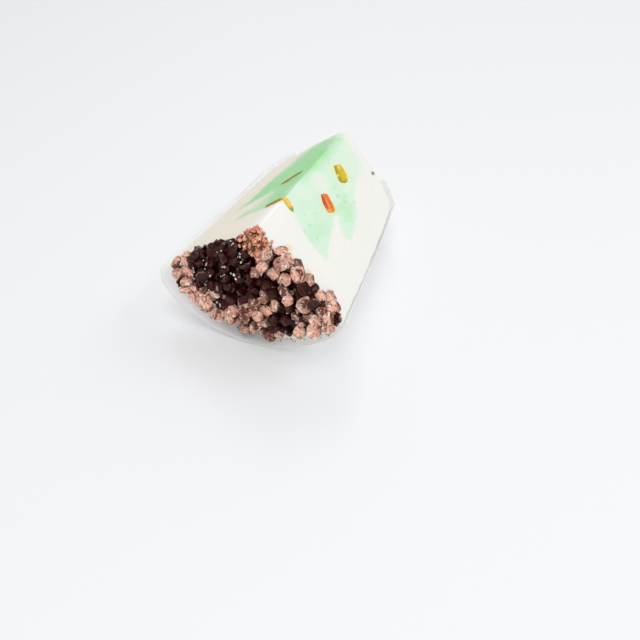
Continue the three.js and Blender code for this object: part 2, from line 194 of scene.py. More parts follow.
def add_object(name, bm):
    """Makes a smooth object of a bmesh drawn in the frame of the mould."""
    bm.transform(mould_frame())
    mesh = to_mesh(name, bm)
    mesh.shade_smooth()
    return into_scene(name, mesh)


def apply_modifiers(piece):
    graph = bpy.context.evaluated_depsgraph_get()
    made = bpy.data.meshes.new_from_object(piece.evaluated_get(graph))
    old = piece.data
    piece.modifiers.clear()
    piece.data = made
    bpy.data.meshes.remove(old)


def remesh(piece, voxel):
    modifier = piece.modifiers.new("Remesh", "REMESH")
    modifier.mode = "VOXEL"
    modifier.voxel_size = voxel
    modifier.use_smooth_shade = True
    apply_modifiers(piece)


def points_of(mesh):
    co = np.empty(len(mesh.vertices) * 3, np.float32)
    mesh.vertices.foreach_get("co", co)
    return co.reshape(-1, 3)


def set_points(mesh, co):
    mesh.vertices.foreach_set("co", np.ascontiguousarray(co, np.float32).ravel())
    mesh.update()


def smooth_points(piece, times, chosen=None):
    """Evens out all points of a piece, or only the chosen ones."""
    bm = bmesh.new()
    bm.from_mesh(piece.data)
    verts = bm.verts if chosen is None else [vert for vert, near in zip(bm.verts, chosen) if near]
    for _ in range(times):
        bmesh.ops.smooth_vert(
            bm, verts=verts, factor=0.5, use_axis_x=True, use_axis_y=True, use_axis_z=True)
    bm.to_mesh(piece.data)
    bm.free()


def noise_at(points, size):
    return np.array([noise.noise(Vector(point) / size) for point in points])


def push_out(mesh, height):
    """Moves each point along its normal by its own height."""
    normals = np.empty(len(mesh.vertices) * 3, np.float32)
    mesh.vertices.foreach_get("normal", normals)
    set_points(mesh, points_of(mesh) + normals.reshape(-1, 3) * height[:, None])


def clamp(value):
    return min(1.0, max(0.0, value))


def eased(share):
    """Starts and ends a change from 0 to 1 softly."""
    return share * share * (3 - 2 * share)


def store(mesh, name, values):
    """Keeps one number or one vector for each vertex, for a material to read."""
    kind = "FLOAT" if values.ndim == 1 else "FLOAT_VECTOR"
    attribute = mesh.attributes.new(name, kind, "POINT")
    field = "value" if values.ndim == 1 else "vector"
    attribute.data.foreach_set(field, np.ascontiguousarray(values, np.float32).ravel())


def swing(outline, reach, steps):
    """A closed solid: an outline of (along, radius) turned about the ridge.

    The outline is closed, or starts and ends on the ridge. Each vertex keeps
    the number of its outline point in the layer "sample"."""
    bm = bmesh.new()
    sample = bm.verts.layers.int.new("sample")
    verts = []
    for number, (along, radius) in enumerate(outline):
        vert = bm.verts.new(spot(along, radius, -reach))
        vert[sample] = number
        verts.append(vert)
    on_ridge = outline[0][1] == 0
    pairs = list(zip(verts, verts[1:]))
    if not on_ridge:
        pairs.append((verts[-1], verts[0]))
    edges = [bm.edges.new(pair) for pair in pairs]
    bmesh.ops.spin(
        bm, geom=verts + edges, cent=(0, 0, 0), axis=(0, -1, 0),
        angle=2 * reach, steps=steps, use_merge=False)
    bmesh.ops.remove_doubles(bm, verts=bm.verts, dist=0.001 * MM)
    rims = {side: [] for side in (-1, 1)}
    for edge in bm.edges:
        if edge.is_boundary:
            middle = (edge.verts[0].co.x + edge.verts[1].co.x) / 2
            rims[1 if middle > 0 else -1].append(edge)
    if on_ridge:
        bm.verts.ensure_lookup_table()
        ends = [v for v in bm.verts if abs(v.co.x) + abs(v.co.z) < 0.001 * MM]
        ridge = bm.edges.new(ends)
        for rim in rims.values():
            rim.append(ridge)
    for rim in rims.values():
        bmesh.ops.edgeloop_fill(bm, edges=rim)
    bmesh.ops.recalc_face_normals(bm, faces=bm.faces)
    return bm


def smooth_curve(keys, per_key):
    """Points on a smooth curve through the keys, which may have any width."""
    keys = [np.array(key, float) for key in keys]
    padded = [2 * keys[0] - keys[1], *keys, 2 * keys[-1] - keys[-2]]
    points = []
    for before, start, end, after in zip(padded, padded[1:], padded[2:], padded[3:]):
        for step in range(per_key):
            t = step / per_key
            points.append(0.5 * (
                2 * start + (end - before) * t
                + (2 * before - 5 * start + 4 * end - after) * t ** 2
                + (3 * start - before - 3 * end + after) * t ** 3))
    points.append(keys[-1])
    return points


# Materials

class Wire:
    """A shader value that Python's operators turn into Math nodes."""

    def __init__(self, shader, socket):
        self.shader = shader
        self.socket = socket

    def maths(self, operation, *others):
        values = dict(enumerate([self, *others]))
        return self.shader.node("ShaderNodeMath", {"operation": operation}, values)

    __add__ = __radd__ = partialmethod(maths, "ADD")
    __sub__ = partialmethod(maths, "SUBTRACT")
    __mul__ = __rmul__ = partialmethod(maths, "MULTIPLY")
    __truediv__ = partialmethod(maths, "DIVIDE")
    __pow__ = partialmethod(maths, "POWER")

    def __rsub__(self, other):
        return (self * -1) + other

    def clamped(self):
        return self.maths("MINIMUM", 1.0).maths("MAXIMUM", 0.0)

    def stretched(self, scale):
        return self.shader.node("ShaderNodeMapping", {}, {"Vector": self, "Scale": scale})

    def noise(self, size, detail=3.0, roughness=0.5):
        """Noise from 0 to 1 whose features are about the given size."""
        return self.shader.node(
            "ShaderNodeTexNoise", {"noise_dimensions": "3D"},
            {"Vector": self, "Scale": 1 / size, "Detail": detail, "Roughness": roughness})

    def step(self, low, high):
        """Rises smoothly from 0 at low to 1 at high."""
        return self.shader.node(
            "ShaderNodeMapRange", {"interpolation_type": "SMOOTHSTEP", "clamp": True},
            {"Value": self, "From Min": low, "From Max": high})

    def split(self):
        return [
            self.shader.node("ShaderNodeSeparateXYZ", {}, {"Vector": self}, axis) for axis in "XYZ"]


class Shader:
    """One material and the nodes in it."""

    def __init__(self, name, **constants):
        self.material = bpy.data.materials.new(name)
        self.material.use_nodes = True
        self.tree = self.material.node_tree
        self.surface = self.tree.nodes["Principled BSDF"]
        for label, value in constants.items():
            self.surface.inputs[label.replace("_", " ")].default_value = value

    def node(self, kind, settings=None, sockets=None, output=0):
        """Adds a node: its settings first, then the values or links it takes."""
        made = self.tree.nodes.new(kind)
        for label, value in (settings or {}).items():
            if label == "stops":
                self.set_stops(made.color_ramp, value)
            else:
                setattr(made, label, value)
        for label, value in (sockets or {}).items():
            if isinstance(value, Wire):
                self.tree.links.new(value.socket, made.inputs[label])
            else:
                made.inputs[label].default_value = value
        return Wire(self, made.outputs[output])

    @staticmethod
    def set_stops(ramp, stops):
        while len(ramp.elements) < len(stops):
            ramp.elements.new(0.5)
        for element, (place, shade) in zip(ramp.elements, stops):
            element.position = place
            element.color = (*shade, 1)

    def coordinates(self):
        return self.node("ShaderNodeTexCoord", output="Object")

    def attribute(self, name, output="Fac"):
        return self.node("ShaderNodeAttribute", {"attribute_name": name}, output=output)

    def mix(self, share, first, second):
        def as_colour(value):
            return value if isinstance(value, Wire) else (*value, 1)
        return self.node(
            "ShaderNodeMix", {"data_type": "RGBA"},
            {0: share, 6: as_colour(first), 7: as_colour(second)}, output=2)

    def layered(self, body, *coats):
        """Lays coats over a colour, each given by its share and its own colour."""
        for share, shade in coats:
            body = self.mix(share, body, shade)
        return body

    def feed(self, label, value):
        self.tree.links.new(value.socket, self.surface.inputs[label])

    def relief(self, height, distance, strength=1.0):
        values = {"Height": height, "Distance": distance, "Strength": strength}
        self.feed("Normal", self.node("ShaderNodeBump", {}, values))

    def paint(self, piece):
        piece.data.materials.clear()
        piece.data.materials.append(self.material)


def ice_shader(name):
    """Cream and pistachio ice. Where they meet, one runs into the other."""
    c = colours()
    shader = Shader(name, Specular_IOR_Level=0.3)
    place = shader.coordinates()
    inside = shader.attribute("filling_depth")
    softness = shader.attribute("filling_softness")
    ragged = place.noise(3.2 * MM, 4, 0.6) - 0.5
    wandering = place.noise(11 * MM, 2, 0.5) - 0.5
    along_mould = shader.attribute("mould_place", "Vector")
    streaks = along_mould.stretched((1.0, 0.2, 1.0)).noise(2.6 * MM, 4, 0.6)
    edge = inside + ragged * (1.8 * MM) + wandering * (2.2 * MM) + (streaks - 0.5) * softness * 1.6
    green = (edge / softness).step(-1.0, 1.0)
    cloud = place.noise(7 * MM, 4, 0.6)
    tone = shader.attribute("pistachio_tone") + (streaks - 0.5) * 0.9 + (cloud - 0.5) * 0.9
    fine = place.noise(0.9 * MM, 4, 0.65)
    speck = (shader.attribute("speck") + (fine - 0.5) * 2.4).step(0.35, 0.95)
    fleck = fine.step(0.62, 0.72) * cloud.step(0.5, 0.62)
    halo = (shader.attribute("halo") + (cloud - 0.5) * 0.3).step(0.05, 0.6)
    mint = shader.layered(
        c.pistachio,
        (tone.clamped(), c.pistachio_deep),
        ((tone * -1).clamped(), c.pistachio_pale),
        ((fleck * 0.25 + speck * 0.6).clamped(), c.pistachio_deep),
        (halo * 0.55, (0.80, 0.80, 0.38)))
    warm = place.noise(14 * MM, 3, 0.55).step(0.5, 0.8)
    cream = shader.layered(
        c.cream,
        # Warm patches, and on the left cut face a painted warm shade.
        ((warm * 0.2 + shader.attribute("warmth")).clamped(), c.cream_warm),
        # Painted highlight: the left cut face is painted lighter near the ridge, where the light catches it.
        (shader.attribute("near_ridge"), (0.97, 0.955, 0.92)),
        (shader.attribute("stain") * 0.55, (0.80, 0.62, 0.30)),
        (shader.attribute("scorch") * 0.85, (0.17, 0.07, 0.035)))
    shader.feed("Base Color", shader.mix(green, cream, mint))
    shader.feed("Roughness", place.noise(6 * MM, 3) * 0.22 + 0.36)
    pores = place.noise(0.55 * MM, 3, 0.6)
    smears = along_mould.stretched((1.0, 0.3, 1.0)).noise(1.9 * MM, 4, 0.6)
    shader.relief(pores * 0.35 + smears * 0.65, 0.16 * MM, 0.75)
    return shader


def fruit_shader(name, stripes, tip, pale, grain):
    """Candied fruit: glassy stripes along it, given as colours from its left
    edge to its right edge, with another colour at its lower tip."""
    shader = Shader(
        name, Roughness=0.32, Specular_IOR_Level=0.22, Coat_Weight=0.1, Coat_Roughness=0.1)
    own = shader.attribute("own_place", "Vector")
    along, across, _ = own.split()
    fibres = own.stretched((0.7, 3.2, 2.0)).noise(grain, 4, 0.6)
    blotch = own.noise(grain * 1.6, 3, 0.55)
    sideways = across * 0.5 + 0.5 + (fibres - 0.5) * 0.5
    stops = [(i / (len(stripes) - 1), stripe) for i, stripe in enumerate(stripes)]
    shader.feed("Base Color", shader.layered(
        shader.node("ShaderNodeValToRGB", {"stops": stops}, {"Fac": sideways}),
        (blotch.step(0.52, 0.62) * 0.8, pale),
        ((along + (blotch - 0.5)).step(0.62, 0.95) * 0.8, tip)))
    shader.relief(fibres * 0.6 + blotch * 0.4, 0.4 * MM, 0.9)
    return shader


def chocolate_shader(name):
    """Chocolate drops, from dark and glossy to pale and frosted by 'bloom'.
    Creases run from the rim of each drop to its middle."""
    c = colours()
    shader = Shader(
        name, Specular_IOR_Level=0.12, Specular_Tint=(1.0, 0.72, 0.66, 1), Coat_Roughness=0.08)
    own = shader.attribute("own_place", "Vector")
    bloom = shader.attribute("bloom")
    tone = shader.attribute("tone")
    place = shader.coordinates()
    x, y, z = own.split()
    heading = shader.node("ShaderNodeVectorMath", {"operation": "NORMALIZE"}, {
        0: shader.node("ShaderNodeCombineXYZ", {}, {"X": x, "Y": y, "Z": 0.001})})
    spokes = shader.node("ShaderNodeVectorMath", {"operation": "ADD"}, {
        0: heading.stretched((2.6, 2.6, 2.6)),
        1: shader.node("ShaderNodeCombineXYZ", {}, {"X": tone * 31, "Y": z * 1.4, "Z": tone * 17})})
    lines = spokes.noise(1.0, 2, 0.6)
    curls = own.stretched((1.2, 5.2, 2.0)).noise(0.8, 2, 0.6)
    # Fine speckle, used for the bloom, for the bump and to break up the painted light.
    dust_and_sheen = place.noise(0.9 * MM, 4, 0.65)
    folds = lines * 0.55 + curls * 0.45
    # Painted shade: thin dark lines along the creases.
    painted_crease_shade = 1 - (lines - 0.5).maths("ABSOLUTE").step(0.012, 0.05)
    reach = ((x * x) + (y * y)) ** 0.5
    # Painted highlight: a light band painted on the rim of each drop.
    rim = reach.step(0.42, 0.47) * (1 - z.step(-0.24, -0.18))
    # Painted shade: the sides of each drop are painted dark, as the shade in the gaps between drops.
    painted_flank_shade = z.step(-0.21, -0.10)
    # Painted shade: the lower side of each drop, and the heap core, are painted darker by how low they
    # stand.
    low = 1 - (shader.attribute("lift") + (dust_and_sheen - 0.5) * 0.2).step(-0.02, 0.16)
    # Painted highlight: small pale glints.
    painted_glint = place.noise(1.5 * MM, 3, 0.6).step(0.52, 0.60) * folds.step(0.43, 0.52)
    brown = tuple(value * scale for value, scale in zip(c.frosted, (0.15, 0.09, 0.075)))
    tan = tuple(value * scale for value, scale in zip(c.frosted, (0.68, 0.58, 0.53)))
    # light is the colour of the painted highlights.
    light = tuple(min(0.93, value * 1.1 + 0.14) for value in c.frosted)
    pale = shader.layered(
        brown,
        # Brown stays in the hollows of the folds, partly bare chocolate and partly painted shade.
        (folds.step(0.34, 0.46), c.frosted),
        ((x + (tone - 0.5) * 0.8 + (dust_and_sheen - 0.5)).step(-0.1, 0.5) * 0.7, tan),
        # Painted highlight on the ridges of the folds.
        (folds.step(0.52, 0.60) * 0.9, light),
        # Painted shade in the creases.
        (painted_crease_shade * reach.step(0.08, 0.25) * 0.6, brown),
        (tone.step(0.74, 1.0) * 0.45, brown),
        # Painted highlight on the rims.
        (rim * dust_and_sheen.step(0.40, 0.62) * 0.6, light),
        # Painted shade on the sides of the drops.
        (painted_flank_shade * (0.95 - folds.step(0.52, 0.6) * 0.35), brown),
        # Painted glints.
        (painted_glint * 0.85, (0.94, 0.79, 0.72)),
        # Painted shade on the lower sides.
        (low * 0.85, brown))
    dark = shader.layered(
        c.chocolate,
        (curls.step(0.48, 0.68) * 0.5, (0.12, 0.026, 0.018)),
        # Painted highlight on the rims of the dark drops.
        (rim * dust_and_sheen.step(0.38, 0.56) * 0.6, (0.34, 0.17, 0.145)),
        # Painted shade, near black, on the lower sides of the dark drops.
        (low * 0.8, (0.003, 0.001, 0.001)))
    covered = (bloom + (dust_and_sheen - 0.5) * 0.4 + (folds - 0.5) * 0.7).step(0.36, 0.54)
    shader.feed("Base Color", shader.mix(covered, dark, pale))
    shader.feed("Roughness", covered * 0.26 + 0.2)
    shader.feed("Coat Weight", (1 - covered) * 0.26)
    shader.relief((folds * 0.85 + dust_and_sheen * 0.15) * (covered * 0.35 + 0.25), 0.7 * MM, 1.0)
    return shader


def crumb_shader(name):
    c = colours()
    shader = Shader(name, Roughness=0.38, Specular_IOR_Level=0.5)
    tone = shader.attribute("tone")
    grain = shader.coordinates().noise(0.5 * MM, 3, 0.6)
    light = tuple(min(1, value * 1.2 + 0.24) for value in c.crumb)
    dark = tuple(value * 0.16 for value in c.crumb)
    shader.feed("Base Color", shader.layered(
        dark,
        ((tone + (grain - 0.5)).step(0.16, 0.52), c.crumb),
        ((tone + (grain - 0.5)).step(0.68, 0.95) * 0.8, light)))
    shader.relief(grain, 0.2 * MM, 0.8)
    return shader


def frost_and_glint_shader(name):
    # White flecks: partly frost, partly painted highlights on the dark drops.
    shader = Shader(
        name, Roughness=0.45, Subsurface_Weight=0.4, Subsurface_Scale=0.8 * MM,
        Subsurface_Radius=(1.0, 0.95, 0.9))
    cloud = shader.coordinates().noise(1.2 * MM, 3)
    shader.feed("Base Color", shader.mix(
        cloud.step(0.35, 0.7), (0.62, 0.47, 0.38), (0.90, 0.86, 0.80)))
    shader.relief(cloud, 0.2 * MM, 0.6)
    return shader


def paper_shader(name):
    """Thin white paper with faint yellow pleats running along it."""
    c = colours()
    shader = Shader(
        name, Roughness=0.6, Specular_IOR_Level=0.3, Subsurface_Weight=0.9,
        Subsurface_Radius=(1.0, 0.95, 0.9), Subsurface_Scale=4.0 * MM)
    place = shader.coordinates()
    pleats = place.stretched((1.0, 0.12, 1.0)).noise(2.4 * MM, 2, 0.5)
    fibres = place.noise(0.8 * MM, 4, 0.65)
    damp = place.noise(9 * MM, 3, 0.5)
    shader.feed("Base Color", shader.layered(
        c.paper,
        (damp.step(0.45, 0.8) * 0.3, (0.88, 0.85, 0.79)),
        (pleats.step(0.60, 0.72) * 0.35, (0.80, 0.70, 0.52)),
        (shader.attribute("cut_edge").step(0.88, 1.0) * 0.85, (0.55, 0.44, 0.32))))
    shader.relief(pleats * 0.7 + fibres * 0.3, 0.15 * MM, 0.6)
    return shader


# Ice cream

# Outline of the filling on each cut face: along and from the ridge, in mm.
FILLING_RIGHT = [
    (20.5, 0), (18.6, 8), (15.8, 15), (14.4, 21), (14, 27.2), (19.5, 25.6),
    (28, 22.8), (37, 20.4), (32.2, 26.2), (33, 30.8), (39.5, 28.9), (48, 26),
    (54.5, 21.6), (61, 18), (72.5, 16.6), (76.4, 8), (78, 0),
]
FILLING_LEFT = [
    (20.5, 0), (19.8, 7), (19.3, 13), (18.9, 18), (18.4, 23.5), (22.5, 20.8),
    (28, 17.4), (33.8, 13.4), (32.6, 21.5), (30, 31), (37.5, 28.6), (46, 27.3),
    (54, 26), (62, 22.4), (71, 20.2), (79, 12), (78, 0),
]


def wedge_outline():
    """Outline of the whole pudding beside its axis, from wide end to tip."""
    s = sizes()
    rim_round = 4 * MM
    dome_start = 0.92
    cone_steps = 24
    outline = [(0.0, 0.0)]
    for step in range(cone_steps + 1):
        along = (s.cone_length - rim_round) * step / cone_steps
        outline.append((along, cone_radius(along)))

    def dome_point(t):
        return s.cone_length + s.dome_length * (1 - t * t), s.narrow_radius * t

    start = np.array(outline[-1])
    middle = np.array((s.cone_length + 0.4 * MM, s.narrow_radius))
    end = np.array(dome_point(dome_start))
    round_steps = 8
    for step in range(1, round_steps + 1):
        t = step / round_steps
        outline.append(tuple((1 - t) ** 2 * start + 2 * t * (1 - t) * middle + t * t * end))
    dome_steps = 20
    for step in range(1, dome_steps + 1):
        outline.append(dome_point(dome_start * (1 - step / dome_steps)))
    outline[-1] = (outline[-1][0], 0.0)
    return outline


def lean_end(bm):
    """Slopes the wide end, and less and less of what lies behind it."""
    s = sizes()
    for vert in bm.verts:
        vert.co.y += s.end_lean * vert.co.z * (1 - clamp(vert.co.y / s.cone_length))


def mould_points(mesh):
    """The mesh's points in the frame of the mould, and along, radius, angle."""
    back = np.array(mould_frame().inverted(), float)
    co = points_of(mesh) @ back[:3, :3].T + back[:3, 3]
    radius = np.hypot(co[:, 0], co[:, 2])
    angle = np.arctan2(co[:, 0], -co[:, 2])
    return co, co[:, 1], radius, angle


def whole_wedge():
    """The wedge in one piece, with its near ridge worn down and its surface
    softly uneven."""
    s = sizes()
    broad_size, broad_height = 13 * MM, 0.28 * MM
    fine_size, fine_height = 3.5 * MM, 0.07 * MM
    worn_radius, worn_length, wear = 9 * MM, 20 * MM, 90
    bm = swing(wedge_outline(), s.half_angle, 72)
    lean_end(bm)
    piece = add_object("Wedge", bm)
    remesh(piece, s.ice_voxel)
    smooth_points(piece, 3)
    _, along, radius, _ = mould_points(piece.data)
    smooth_points(piece, wear, (radius < worn_radius) & (along < worn_length))
    co = points_of(piece.data)
    push_out(piece.data, noise_at(co, broad_size) * broad_height + noise_at(co, fine_size) * fine_height)
    return piece


def filling_curves():
    return {
        side: np.array(smooth_curve(keys, 8)) * MM
        for side, keys in ((1, FILLING_RIGHT), (-1, FILLING_LEFT))}


def filling_tool():
    """The filling before it is trimmed to the wedge, a little oversize."""
    s = sizes()
    overrun = math.radians(5)
    curves = filling_curves()
    bm = swing([tuple(p) for p in curves[1]], s.half_angle + overrun, 28)
    sample = bm.verts.layers.int["sample"]
    for vert in bm.verts:
        if abs(vert.co.x) + abs(vert.co.z) < 0.01 * MM:
            continue
        angle = math.atan2(vert.co.x, -vert.co.z)
        share = eased(clamp((angle + s.half_angle) / (2 * s.half_angle)))
        along, radius = curves[-1][vert[sample]] * (1 - share) + curves[1][vert[sample]] * share
        vert.co = spot(along, radius, angle)
    return add_object("Filling_tool", bm)


def cut(piece, tool, operation, name):
    """A new object: the piece cut with, or kept within, the tool."""
    made = piece.copy()
    made.data = piece.data.copy()
    made.name = name
    made.data.name = name
    bpy.context.scene.collection.objects.link(made)
    modifier = made.modifiers.new("Cut", "BOOLEAN")
    modifier.operation = operation
    modifier.solver = "MANIFOLD"
    modifier.object = tool
    apply_modifiers(made)
    made.data.shade_smooth()
    made.data.set_sharp_from_angle(angle=math.radians(50))
    return made


def distance_inside(points, outline):
    """How far each point lies inside a closed outline, negative outside."""
    start = outline
    end = np.roll(outline, -1, axis=0)
    run = end - start
    squares = np.maximum((run ** 2).sum(1), 1e-16)
    nearest = np.full(len(points), 1e9)
    crossings = np.zeros(len(points), int)
    for a, b, r, square in zip(start, end, run, squares):
        t = np.clip(((points - a) @ r) / square, 0, 1)
        away = np.linalg.norm(points - (a + t[:, None] * r), axis=1)
        nearest = np.minimum(nearest, away)
        above = (a[1] > points[:, 1]) != (b[1] > points[:, 1])
        slope = (b[0] - a[0]) / (b[1] - a[1]) if b[1] != a[1] else 0.0
        crossings += above & (points[:, 0] < a[0] + slope * (points[:, 1] - a[1]))
    return np.where(crossings % 2 == 1, nearest, -nearest)


def blob(points, centre, reach):
    """1 at the centre, in mm, fading to 0 at the reach along each axis."""
    away = np.hypot(*((points / MM - np.array(centre)) / np.array(reach)).T)
    return np.clip(1 - away, 0, 1)


# Small green specks on each cut face: along and from the ridge, and reach, in mm.
SPECKS_RIGHT = [
    (46.3, 15.8, 1.6), (51.3, 23.1, 1.5), (43.4, 19.4, 1.2), (21.2, 14.1, 1.2), (28.3, 12.8, 1.0),
    (23.3, 10.0, 1.0), (16.9, 13.9, 1.1), (48.0, 12.4, 1.1), (47.2, 19.8, 1.4), (44.6, 21.6, 1.2),
    (50.2, 18.2, 1.1), (19.0, 19.6, 1.0), (57.0, 4.2, 1.2), (38.6, 24.8, 1.2),
]
SPECKS_LEFT = [
    (34.2, 11.6, 1.5), (29.4, 12.4, 1.3), (36.0, 17.0, 1.4), (46.0, 6.4, 1.4), (26.4, 8.6, 1.4),
    (52.0, 4.0, 1.6), (40.0, 4.6, 1.3), (50.4, 12.6, 1.2),
]


# Patches where the green is deeper, or paler below zero: strength, then centre
# and reach, along and from the ridge in mm.
TONES_RIGHT = [
    (-1.3, (43.5, 7), (7, 7)), (-0.8, (56, 16), (6, 5)), (0.5, (43, 21), (9, 7)),
    (0.35, (24, 20), (14, 9)), (-0.4, (32, 5), (7, 5)),
]
TONES_LEFT = [
    (-0.9, (25, 16), (9, 7)), (-0.6, (29, 2), (7, 4)), (-0.5, (74, 1), (12, 7)),
    (0.25, (57, 7), (12, 9)),
]


def patches(points, rows):
    return sum(strength * blob(points, centre, reach) for strength, centre, reach in rows)


def mark_ice(mesh):
    """Stores what the ice's material needs to know of each point's place."""
    co, along, radius, angle = mould_points(mesh)
    flat = np.stack([along, radius], 1)
    right = angle > 0
    left = ~right
    depth = np.empty(len(flat))
    for side, curve in filling_curves().items():
        mine = right if side == 1 else left
        closed = np.vstack([curve, curve[-1] - (0, 9 * MM), curve[0] - (0, 9 * MM)])
        depth[mine] = distance_inside(flat[mine], closed)
    skin, deep_outside = math.radians(3), -20 * MM
    buried = np.abs(angle) < sizes().half_angle - skin
    depth[buried & (radius > 2 * MM) & (along < 74 * MM)] = deep_outside
    far_rim = np.clip((along / MM - 50) / 25, 0, 1)
    notch = blob(flat, (34, 22), (9, 9)) * right
    softness = (0.9 + 1.5 * far_rim + 1.2 * notch + 2.0 * left) * MM
    far_fade = np.clip((along / MM - 58) / 14, 0, 1) * np.clip(radius / MM / 8, 0, 1)
    ridge_band = np.clip(1 - radius / (4.5 * MM), 0, 1) * np.clip((along / MM - 34) / 8, 0, 1)
    tone = right * (0.9 * ridge_band - 0.6 * far_fade + patches(flat, TONES_RIGHT))
    # The left face is painted a deeper green, partly its own colour and partly painted shade.
    tone += left * (0.95 + patches(flat, TONES_LEFT))
    speck = sum(
        blob(flat, (speck_along, speck_radius), (width, width)) * face
        for face, rows in ((right, SPECKS_RIGHT), (left, SPECKS_LEFT))
        for speck_along, speck_radius, width in rows)
    halo = blob(flat, (38.2, 14.2), (6.4, 6.0)) + blob(flat, (58.3, 10.8), (7.6, 7.0))
    stain = blob(flat, (4.5, 13.2), (2.2, 2.2)) + blob(flat, (2.6, 24.4), (2.4, 2.0))
    scorch = blob(flat, (75.6, 22.2), (1.6, 1.1)) * right
    # Painted shade: the left cut face is painted warmer, less so near the ridge.
    warmth = left * (0.15 + 0.65 * np.clip((radius / MM - 1) / 14, 0, 1))
    marks = {
        "filling_depth": depth,
        "filling_softness": softness,
        "pistachio_tone": tone,
        "mould_place": co,
        "speck": np.clip(speck * 1.6, 0, 1),
        "halo": halo * right,
        "stain": np.clip(stain * 2, 0, 1) * right,
        "warmth": warmth,
        "scorch": np.clip(scorch * 2, 0, 1),
        # Painted highlight on the left cut face near the ridge, where the light catches it.
        "near_ridge": np.clip(1.3 - radius / (8 * MM), 0, 1) * left,
    }
    for name, values in marks.items():
        store(mesh, name, values)


def make_ice():
    wedge = whole_wedge()
    tool = filling_tool()
    cream = cut(wedge, tool, "DIFFERENCE", "Cream")
    pistachio = cut(wedge, tool, "INTERSECT", "Pistachio")
    for extra in (wedge, tool):
        bpy.data.objects.remove(extra)
    shader = ice_shader("Ice")
    for piece, node, slot in (
            (cream, "Cream_Ice", "cream_ice"), (pistachio, "Pistachio_Filling", "pistachio_ice")):
        mark_ice(piece.data)
        shader.paint(piece)
        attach(piece, "root")
        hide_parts(node)


# Fruit

def lump(name, size, along, radius, turn, taper, seed):
    """A lump of fruit set into the right cut face: a rounded block with long
    soft ridges, narrower at its upper end by its taper."""
    rng = random.Random(seed)
    squareness = 0.48
    sink = 1.3 * MM
    bm = bmesh.new()
    bmesh.ops.create_icosphere(bm, subdivisions=5, radius=1)
    own = bm.verts.layers.float_vector.new("own_place")
    shift = Vector((rng.random(), rng.random(), rng.random())) * 9
    for vert in bm.verts:
        p = vert.co
        squared = Vector([math.copysign(abs(value) ** squareness, value) for value in p])
        vert[own] = squared
        ridges = 0.26 * noise.noise(Vector((squared.x * 0.7, squared.y * 3.2, 2)) + shift)
        dents = 1 + 0.10 * noise.noise(squared * 1.6 + shift)
        vert.co = Vector((
            squared.x * size[0] / 2 * dents,
            squared.y * size[1] / 2 * (1 + taper * squared.x) * dents,
            squared.z * size[2] / 2 * (1 + ridges * (1 if p.z > 0 else 0))))
    half = sizes().half_angle
    down = Vector((math.sin(half), 0, -math.cos(half)))
    outward = face_normal(1)
    basis = Matrix((down.cross(outward), down, outward)).transposed().to_4x4()
    place = Matrix.Translation(face_spot(along, radius, 1, -sink))
    bm.transform(place @ basis @ Matrix.Rotation(turn, 4, "Z"))
    return add_object(name, bm)


def strip(name, path, widths, thickness, seed):
    """A strip of peel swept along a path, with a rounded, uneven section."""
    rng = random.Random(seed)
    shift = rng.random() * 10
    centres = [Vector(p) for p in smooth_curve(path, 8)]
    spread = [p[0] for p in smooth_curve([(w,) for w in widths], 8)]
    bm = bmesh.new()
    own = bm.verts.layers.float_vector.new("own_place")
    around = 14
    pointed = 5
    loops = []
    total = len(centres) - 1
    for i, centre in enumerate(centres):
        before = centres[max(0, i - 1)]
        after = centres[min(total, i + 1)]
        run = (after - before).normalized()
        outward = Vector((centre.x, 0, abs(centre.x) * 1.2 + 0.6 * MM)).normalized()
        side = run.cross(outward).normalized()
        out = side.cross(run)
        end = math.sin(math.pi * min(1.0, min(i, total - i) / pointed + 0.12) / 2)
        ring = bmesh.ops.create_circle(bm, cap_ends=False, segments=around, radius=1)["verts"]
        for j, vert in enumerate(ring):
            turn = 2 * math.pi * j / around
            wave = 1 + 0.22 * noise.noise(Vector((i * 0.33 + shift, math.cos(turn), math.sin(turn))))
            across = math.cos(turn) * spread[i] / 2 * end * wave
            up = math.sin(turn) * thickness / 2 * end * wave
            vert.co = centre + side * across + out * up
            vert[own] = Vector((i / total * 6 - 3, math.cos(turn), math.sin(turn)))
        loops.append([e for e in bm.edges if e.verts[0] in ring and e.verts[1] in ring])
    for first, second in zip(loops, loops[1:]):
        bmesh.ops.bridge_loops(bm, edges=first + second)
    for rim in (loops[0], loops[-1]):
        bmesh.ops.edgeloop_fill(bm, edges=rim)
    bmesh.ops.recalc_face_normals(bm, faces=bm.faces)
    piece = add_object(name, bm)
    finer = piece.modifiers.new("Finer", "SUBSURF")
    finer.levels = 1
    finer.render_levels = 1
    return piece


def on_face(side, *places):
    """Points on a cut face, each given along and from the ridge in mm."""
    return [face_spot(along * MM, radius * MM, side) for along, radius in places]


def ridge_peel():
    over_ridge = Vector((0, 21.6 * MM, -0.3 * MM))
    path = on_face(-1, (19.4, 8.8), (20.4, 5.4), (21.2, 2.2))
    path += [over_ridge, *on_face(1, (21.4, 1.7), (20.8, 3.6), (20.0, 6.0))]
    widths = [width * MM for width in (0.8, 1.0, 1.3, 2.2, 2.9, 2.5, 1.5)]
    return strip("Peel", path, widths, 1.3 * MM, 5)


def left_sliver():
    path = on_face(-1, (40, 13.2), (41.4, 10.9), (43.7, 8.2), (46.7, 4.7))
    widths = [width * MM for width in (0.7, 1.3, 1.5, 0.8)]
    return strip("Sliver", path, widths, 0.9 * MM, 8)


